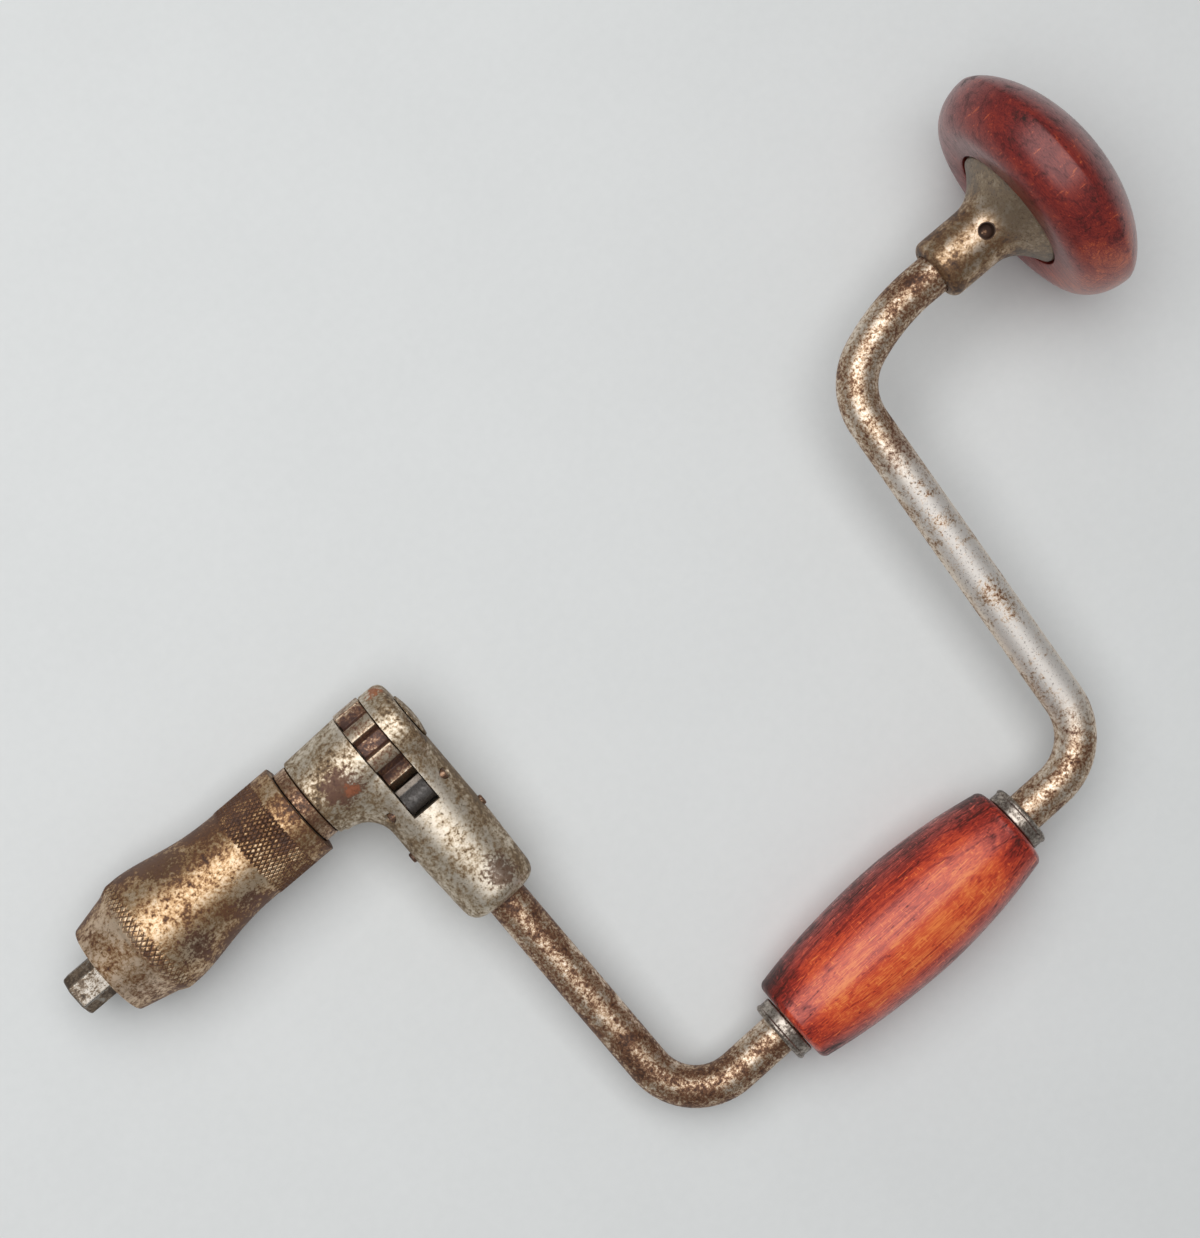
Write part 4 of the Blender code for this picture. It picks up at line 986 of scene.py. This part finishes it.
quill = turned("quill_turned", quill_profile, TURN, True)
up_hole = Matrix(((0, 1, 0), (0, 0, 1), (1, 0, 0))).to_4x4()
up_hole.translation = Vector((OIL_HOLE, 0.0, 0.0))
drill = [(2.8, 0.0), (2.8, OIL_RADIUS), (18.0, OIL_RADIUS), (18.0, 0.0)]
combined(quill, turned("oil_drill", drill, 40, axis=up_hole), 'DIFFERENCE')


def quill_wear_and_shade(spot):
    """Black round and in the oil hole, browner towards the flange, and darker down the sides; the black
    and the darker sides are painted shade.
    """
    # Painted shade: black round and in the oil hole, on the top.
    rim = spot.stretched(1.0, 1.0, 0.0).near((OIL_HOLE, 0.0, 0.0), OIL_RADIUS, 2.5)
    rim = rim * spot.part("Z").clip(0.0, 0.001)
    flange = spot.part("X").clip(0.2125, 0.2185)
    # The sides are painted darker than the top, as shade.
    return 0.06 + rim * 0.5 + flange * 0.03 - spot.part("Z").clip(0.003, 0.0085) * 0.06


QUILL_TONES = ((0.66, 0.53, 0.41), (0.42, 0.285, 0.17), (0.20, 0.105, 0.048), (0.062, 0.031, 0.018))
FLARE_MARK = (beyond("X", 0.2095, 0.2165, 0.6), (0.25, 0.21, 0.16), 0.05)
quill_steel = aged_steel("quill_steel", QUILL_TONES, quill_wear_and_shade, seed=2.93, coarse=0.9, grit=0.6,
                         marks=(FLARE_MARK,))
laid(quill, quill_steel)
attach(quill, "head")
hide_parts("head_quill")
for name in ("head_thrust_washer", "head_back_washer", "head_nut"):
    kept(name, inner_steel)


# Head
# A turned hardwood knob, recessed for the flange, stained crimson and darkened by years of leaning on it.
WIDEST = 231.697
KNOB_RADIUS = 34.5
DOME_HEIGHT = 15.0
UNDER_HEIGHT = 12.7
UNDER_RADIUS = 25.0
UNDER_ROUND = 9.5
RECESS_MOUTH = 218.997
RECESS_FLOOR = 222.397
TENON_END = 239.597
TENON_BORE = 11.3
knob_points = []
for i in range(41):
    share = math.sin(math.pi / 2 * i / 40)
    knob_points.append((WIDEST + DOME_HEIGHT * (1.0 - share ** 2) ** 0.65, KNOB_RADIUS * share))
for i in range(1, 31):
    angle = math.pi / 2 * i / 30
    radius = UNDER_RADIUS + UNDER_ROUND * math.cos(angle)
    knob_points.append((WIDEST - UNDER_HEIGHT * math.sin(angle), radius))
recess = FLANGE_RADIUS + 0.8
knob_points += [(RECESS_MOUTH, recess + 0.5), (219.3, recess), (RECESS_FLOOR, recess),
                (RECESS_FLOOR, TENON_BORE), (TENON_END, TENON_BORE), (TENON_END, 0.0)]


def knob_smudge(spot):
    """Soot along a belt round the widest part, and rubbed to orange on the side towards the grip."""
    along = spot.part("X")
    belt = along.clip(0.224, 0.231) * (1 - along.clip(0.233, 0.241))
    soot = spot.stretched(1.0, 0.5, 1.0).grain(6.0, 6.0, 0.72).clip(0.50, 0.70)
    rubbed_side = (0.0 - spot.part("Y")).clip(0.012, 0.028)
    return soot * (belt * 0.36 + 0.16) - rubbed_side * 0.26 + 0.10


HEAD_TONES = ((0.55, 0.11, 0.035), (0.27, 0.026, 0.014), (0.150, 0.0125, 0.0115), (0.06, 0.013, 0.0100),
              (0.03, 0.014, 0.013))
knob_wood = stained_wood("crimson_wood", HEAD_TONES, along=(1.0, 1.0 / 12.0, 1.0),
                         swirl=(228.0, -27.0, 22.0), ring_gap=2.6, seed=1.7, contrast=1.1, gloss=0.80,
                         smudge=knob_smudge)
knob = laid(turned("head_turned", knob_points, 128, False, rubbed), knob_wood)
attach(knob, "head")
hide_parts("head_knob")


# Table, light and camera
# A pale painted board under one wide soft light overhead, seen from almost straight above with the tool
# turned on the board.
SPAN = 3.0
work = bmesh.new()
edge = [work.verts.new((x * SPAN, y * SPAN, 0.0)) for x, y in ((-1, -1), (1, -1), (1, 1), (-1, 1))]
work.faces.new(edge)
table = bench_object("table", work)
table_material, paint, board = new_finish("pale_table", own=True, Roughness=0.55)
mottle = board.grain(60.0, 3.0) * 0.6 + board.grain(3.0, 2.0) * 0.4
feed(paint, Base_Color=mottle.clip(0.2, 0.8).between((0.755, 0.77, 0.765), (0.795, 0.81, 0.805)))
table.data.materials.append(table_material)

ROOM_COLOUR = (0.20, 0.205, 0.21, 1.0)
world = bpy.data.worlds.new("room")
bpy.context.scene.world = world
world.use_nodes = True
world.node_tree.nodes["Background"].inputs["Color"].default_value = ROOM_COLOUR

lamp = bpy.data.lights.new("overhead", 'AREA')
lamp.shape = 'SQUARE'
lamp.size = 1.4
lamp.energy = 14.4
overhead = bpy.data.objects.new("overhead", lamp)
overhead.location = (-0.15, 0.36, 1.2)
bpy.context.scene.collection.objects.link(overhead)

camera = bpy.data.cameras.new("camera")
camera.sensor_fit = 'VERTICAL'
camera.sensor_height = 36.0
camera.lens = 78.881
eye_point = bpy.data.objects.new("camera", camera)
eye_point.location = (-0.07242, 0.03519, 0.7376)
VIEW_TURN = (3.8307, -3.7288, -40.3289)
eye_point.rotation_euler = [math.radians(angle) for angle in VIEW_TURN]
bpy.context.scene.collection.objects.link(eye_point)
bpy.context.scene.camera = eye_point
bpy.context.scene.view_settings.view_transform = 'Standard'
